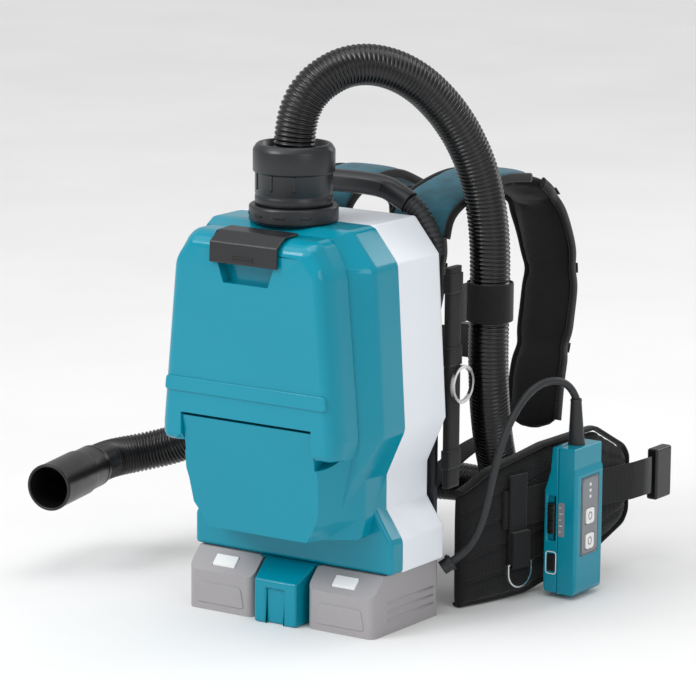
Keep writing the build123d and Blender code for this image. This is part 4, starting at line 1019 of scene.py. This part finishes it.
def ladder_buckle(name, centre, across, along, out, width=31 * MM, height=24 * MM):
    """A ladder-lock buckle: a rounded frame and two crossbars, each a swept bar, in one mesh."""
    across, along, out = (np.asarray(v, float) / np.linalg.norm(v) for v in (across, along, out))
    centre = np.asarray(centre, float)
    square = np.array([(-1, -1), (1, -1), (1, 1), (-1, 1)])
    corners = rounded_outline(square * (width / 2, height / 2), 5 * MM, 8)
    closed = np.vstack([corners, corners[:2]])
    bars = [swept(name, centre + closed[:, :1] * across + closed[:, 1:] * along, out, 3.4 * MM, 3.2 * MM,
                  power=3, count=16)]
    for i, share in enumerate((-0.18, 0.2)):
        ends = centre + along * share * height
        line = ends + np.linspace(-0.48, 0.48, 6)[:, None] * width * across
        bars.append(swept(f"{name}_bar_{i}", line, out, 3.6 * MM, 4.2 * MM, power=3, count=16))
    return joined(name, bars)


def joined(name, pieces):
    """Several meshes put into the first one."""
    work = bmesh.new()
    for piece in pieces:
        work.from_mesh(piece.data)
    work.to_mesh(pieces[0].data)
    work.free()
    for piece in pieces[1:]:
        bpy.data.objects.remove(piece)
    pieces[0].name = name
    return pieces[0]


def stitches(name, path, out, pitch=3.2 * MM, size=0.7 * MM):
    """A row of lockstitches: short threads along a path, 2/3 of the pitch long, that bulge out of
    the cloth."""
    line = resampled(np.asarray(path, float), max(2, int(line_length(path) / pitch)))[0]
    tangent = tangents(line)
    out = np.broadcast_to(out, line.shape)
    side = np.cross(tangent, out)
    u = np.linspace(-1, 1, 5)
    v = np.arange(6) / 6 * 2 * math.pi
    thick = size / 2 * np.sqrt(np.maximum(0.15, 1 - u ** 2))
    ring = (side[:, None, None] * np.cos(v)[None, None, :, None]
            + out[:, None, None] * np.sin(v)[None, None, :, None])
    points = (line[:, None, None] + tangent[:, None, None] * (u * pitch * 0.33)[None, :, None, None]
              + ring * thick[None, :, None, None] + out[:, None, None] * 0.2 * MM)
    n = len(line)
    k, a, b = np.meshgrid(np.arange(n), np.arange(4), np.arange(6), indexing="ij")
    at = k * 30 + a * 6
    quads = np.stack([at + b, at + 6 + b, at + 6 + (b + 1) % 6, at + (b + 1) % 6], -1).reshape(-1, 4)
    mesh = bpy.data.meshes.new(name)
    mesh.from_pydata(points.reshape(-1, 3).tolist(), [], quads.tolist())
    piece = linked(name, mesh)
    return piece


class VACUUM_OT_strap_fittings(bpy.types.Operator):
    """Adds the webbing, buckles, loops and stitching on the shoulder straps and the belt"""

    bl_idname = "vacuum.strap_fittings"
    bl_label = "Strap fittings"

    def execute(self, context):
        for side, word, _, strap in HARNESS_SIDES:
            path, lean = strap_path(side, strap)
            tangent = tangents(path)
            out = np.cross(tangent, lean)
            out *= np.sign(out[50, 1])
            outer = path + out * 7.9 * MM
            web = swept(f"strap_web_{word}", outer[3:-3], lean, 24 * MM, 1.6 * MM, power=6)
            finish_piece(web, "webbing")
            for i, at in enumerate((18, 46, 74)):
                cross = outer[at] + np.linspace(-27, 27, 8)[:, None] * lean * MM + out[at] * 0.5 * MM
                loop = swept(f"strap_loop_{word}_{i}", cross, tangent[at], 10 * MM, 1.3 * MM, power=6)
                finish_piece(loop, "webbing")
            for i, edge in enumerate((-24, 24)):
                seam_line = path[6:-6] + lean * edge * MM + out[6:-6] * 6.3 * MM
                seam = stitches(f"strap_seam_{word}_{i}", seam_line, out[50])
                finish_piece(seam, "cable_rubber")
            buckle = ladder_buckle(f"strap_buckle_{word}", outer[101] + out[101] * 1.2 * MM, lean,
                                   tangent[101], out[101])
            finish_piece(buckle, "black_plastic")

            plan = wing_offset(8.2 * MM, side, 90)
            y = plan[:, 1]
            top, bottom = wing_edges(y)
            for i, share in enumerate(WING_SEAMS):
                line = np.stack([plan[:, 0], y, bottom + (top - bottom) * share], 1)[6:-8]
                off_web = np.abs(line[:, 2] - 0.090) > 0.021
                if off_web.sum() > 10:
                    first = int(np.argmax(off_web))
                    run = line[first:first + int(off_web.sum())]
                    seam = stitches(f"belt_seam_{word}_{i}", run, np.array((side * 0.97, -0.24, 0)))
                    finish_piece(seam, "cable_rubber")
            # binding round the wing's edge
            middle = wing_offset(0, side, 90)
            upper = np.stack([middle[:, 0], middle[:, 1], top], 1)[2:-1]
            lower = np.stack([middle[:, 0], middle[:, 1], bottom + 1.2 * MM], 1)[2:-1]
            edge = resampled(np.vstack([upper, lower[::-1]]), 200)[0]
            edge[1:-1] = (edge[:-2] + edge[1:-1] + edge[2:]) / 3
            rim = swept(f"belt_binding_{word}", edge, (side, -0.2, 0), 11.5 * MM, 4.2 * MM,
                        power=2.6, count=16)
            finish_piece(rim, "webbing")
            # an upright webbing that carries the belt's ring
            place = wing_offset(12.3 * MM, side, 90)
            at = int(np.argmin(np.abs(place[:, 1] - 0.131)))
            upright = np.stack([0 * np.ones(30) + place[at, 0], 0 * np.ones(30) + place[at, 1],
                                np.linspace(60, 124, 30) * MM], 1)
            web = swept(f"ring_web_{word}", upright, (side * 0.2, 0.98, 0), 24 * MM, 1.7 * MM, power=6)
            finish_piece(web, "webbing")
        return {"FINISHED"}


class VACUUM_OT_hose_band(bpy.types.Operator):
    """Builds the hook-and-loop band that holds the hose against the back plate"""

    bl_idname = "vacuum.hose_band"
    bl_label = "Hose band"

    def execute(self, context):
        low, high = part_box("hose_band")
        centre = np.array((117, 104)) * MM
        t = np.radians(np.linspace(-225, 135, 120))
        ring = centre + np.stack([np.cos(t), np.sin(t)], 1) * 21.6 * MM
        middle = (low.z + high.z) / 2
        path = np.stack([ring[:, 0], ring[:, 1], 0 * t + middle], 1)
        band = swept("hose_band_loop", path, (0, 0, 1), high.z - low.z - 1 * MM, 1.9 * MM, power=8)
        finish_piece(band, "webbing", replaces=("hose_band",))
        path = np.array([(101.2, 52, 0), (101.2, 70, 0), (101.2, 90, 0)]) * MM + (0, 0, middle)
        tail = swept("hose_band_tail", path, (0, 0, 1), high.z - low.z - 1 * MM, 1.9 * MM, power=8)
        finish_piece(tail, "webbing")
        return {"FINISHED"}


class VACUUM_OT_control_box(bpy.types.Operator):
    """Adds the keys' marks, the slider, the radio panel and the strain relief of the control box"""

    bl_idname = "vacuum.control_box"
    bl_label = "Control box"

    def execute(self, context):
        low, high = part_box("control_panel")
        face = high.x
        # membrane frame: a thin rim round the panel
        outline = rounded_outline(np.array([
            (low.y + 1 * MM, low.z + 1 * MM), (high.y - 1 * MM, low.z + 1 * MM),
            (high.y - 1 * MM, high.z - 1 * MM), (low.y + 1 * MM, high.z - 1 * MM)]), 6 * MM, 10)
        closed = np.vstack([outline, outline[:2]])
        path = np.stack([0 * closed[:, 0] + face, closed[:, 0], closed[:, 1]], 1)
        rim = swept("membrane_rim", path, (1, 0, 0), 0.5 * MM, 0.7 * MM, power=2, count=8)
        finish_piece(rim, "dark_trim")
        for key, body in (("button_power", "power_key"), ("button_stop", "stop_key")):
            key_low, key_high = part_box(key)
            y, z = (key_low.y + key_high.y) / 2, (key_low.z + key_high.z) / 2
            t = np.linspace(0, 2 * math.pi, 40)
            path = np.stack([0 * t + key_high.x, y + np.cos(t) * 3 * MM, z + np.sin(t) * 3.6 * MM], 1)
            mark = swept(f"{key}_mark", path, (1, 0, 0), 0.3 * MM, 0.9 * MM, power=2, count=8)
            finish_piece(mark, "black_plastic", body)
        # a pale frame round the radio key, and a label with tick marks beside the slider
        low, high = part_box("wireless_button")
        outline = rounded_outline(np.array([
            (low.x - 1.6 * MM, low.z - 3 * MM), (high.x + 1.6 * MM, low.z - 3 * MM),
            (high.x + 1.6 * MM, high.z + 3 * MM), (low.x - 1.6 * MM, high.z + 3 * MM)]), 3 * MM, 6)
        closed = np.vstack([outline, outline[:2]])
        path = np.stack([closed[:, 0], 0 * closed[:, 0] + 153 * MM, closed[:, 1]], 1)
        frame_rim = swept("radio_key_frame", path, (0, 1, 0), 0.9 * MM, 0.9 * MM, power=3, count=12)
        finish_piece(frame_rim, "white_print")
        label = plaque("slider_label", rounded_outline(np.array([
            (168 * MM, 62 * MM), (175 * MM, 62 * MM), (175 * MM, 96 * MM), (168 * MM, 96 * MM)]), 2 * MM, 6),
            153.1 * MM, 0.35 * MM, 0.1 * MM)
        finish_piece(label, "panel_grey")
        for i, z in enumerate((67, 73, 79, 85, 91)):
            tick = plaque(f"slider_tick_{i}", np.array([
                (169.2, z - 0.35), (169.2 + (3.6 if i % 2 else 2.2), z - 0.35),
                (169.2 + (3.6 if i % 2 else 2.2), z + 0.35), (169.2, z + 0.35)]) * MM,
                152.8 * MM, 0.2 * MM, 0.04 * MM)
            finish_piece(tick, "white_print")
        # lights between the keys and the box's top
        for i, z in enumerate((100, 106, 112)):
            lamp = turned_piece(f"level_light_{i}", np.array([
                (0.05, 0.7), (1.3, 0.5), (1.8, 0), (1.8, -0.6), (0.05, -0.6)]) * MM,
                (face, 179 * MM, z * MM), (1, 0, 0), 24)
            finish_piece(lamp, "button_white")
        # the slider's wavy thumb face: ridges of 0.9 mm, cos(2 pi z / 5 mm)
        low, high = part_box("mode_slider")
        u = np.linspace(0, 1, 61)
        z = low.z + (high.z - low.z) * u
        depth = low.y + 0.9 * MM * (0.5 - 0.5 * np.cos((z - low.z) / (5 * MM) * 2 * math.pi))
        path = np.stack([0 * z + (low.x + high.x) / 2, (depth + high.y) / 2, z], 1)
        slider = swept("slider_thumb", path, (1, 0, 0), high.x - low.x, high.y - depth, power=6, count=24)
        finish_piece(slider, "black_plastic", "slider", replaces=("mode_slider",))

        foot = np.array((172, 178, 150)) * MM
        up = CABLE_ROUTE[-1] - foot
        reach = np.linalg.norm(up)
        at = np.linspace(0, reach, 80)
        # the radius falls as 8.4 - 3.2 u^0.8 mm for u from 0 to 1, and a bead closes the thin end
        share = at / reach
        taper = 8.4 - 3.2 * share ** 0.8 + 0.5 * np.exp(-((share - 0.97) / 0.02) ** 2)
        profile = np.concatenate([[(0.05, 0)], np.stack([taper, at / MM], 1), [(3.9, reach / MM)]])
        relief = turned_piece("strain_relief_sleeve", profile * MM, foot, up / reach, 48)
        finish_piece(relief, "cable_rubber", replaces=("cable_strain_relief",))
        return {"FINISHED"}


class VACUUM_OT_handle(bpy.types.Operator):
    """Builds the carry handle with its ribbed rubber ends"""

    bl_idname = "vacuum.handle"
    bl_label = "Carry handle"

    def execute(self, context):
        grip = spline_through([(-61, 47, 393), (-48, 46, 400), (-36, 45.2, 405), (-18, 45, 407),
                               (18, 45, 407), (36, 45.2, 405), (48, 46, 400), (61, 47, 393)], 120) * MM
        handle = swept("carry_grip", grip, (0, 1, 0), 21.6 * MM, 21.6 * MM, power=2.3, count=48)
        finish_piece(handle, "dark_trim", replaces=("carry_handle",))
        inset_line = grip[34:-34] - np.array((0, 10.6, -1.5)) * MM
        inset = swept("grip_inset", inset_line, (0, 0, 1), 9 * MM, 1.6 * MM, power=2.4, count=24)
        finish_piece(inset, "cable_rubber")
        for side, word in ((1, "right"), (-1, "left")):
            line = spline_through([(61.5, 47, 392.6), (72, 47, 385), (82, 47, 372), (88, 47, 358),
                                   (90, 47, 345)], 160) * MM
            line[:, 0] *= side
            at = np.linspace(0, 1, len(line))
            width = 18.6 * MM - 2.4 * MM * (np.cos(at * 13 * 2 * math.pi) > 0.35)
            boot = swept(f"handle_boot_{word}", line, (0, 1, 0), width, width, power=2.2, count=40)
            finish_piece(boot, "cable_rubber", replaces=("handle_boots",))
        return {"FINISHED"}


class VACUUM_PT_panel(bpy.types.Panel):
    """Lists the pieces and the sizes in the sidebar"""

    bl_idname = "VACUUM_PT_panel"
    bl_label = "Backpack vacuum"
    bl_space_type = "VIEW_3D"
    bl_region_type = "UI"
    bl_category = "Vacuum"

    def draw(self, context):
        for name in ORDER:
            self.layout.operator(f"vacuum.{name}")
        for key in VacuumSettings.__annotations__:
            self.layout.prop(settings(), key)


ORDER = ["stage", "hose", "cable", "casing", "lid_details", "cuffs", "harness_pads", "webbing",
         "strap_fittings", "hose_band", "control_box", "handle"]
CLASSES = [
    VacuumSettings, VACUUM_OT_stage, VACUUM_OT_hose, VACUUM_OT_cable, VACUUM_OT_casing,
    VACUUM_OT_lid_details, VACUUM_OT_cuffs, VACUUM_OT_harness_pads, VACUUM_OT_webbing,
    VACUUM_OT_strap_fittings, VACUUM_OT_hose_band, VACUUM_OT_control_box, VACUUM_OT_handle,
    VACUUM_PT_panel,
]


def register():
    for cls in CLASSES:
        bpy.utils.register_class(cls)
    bpy.types.Scene.vacuum_settings = bpy.props.PointerProperty(type=VacuumSettings)


def unregister():
    del bpy.types.Scene.vacuum_settings
    for cls in reversed(CLASSES):
        bpy.utils.unregister_class(cls)


def main():
    register()
    MATERIALS.update(make_materials())
    carried_materials()
    for name in ORDER:
        getattr(bpy.ops.vacuum, name)()


if __name__ == "__main__":
    main()
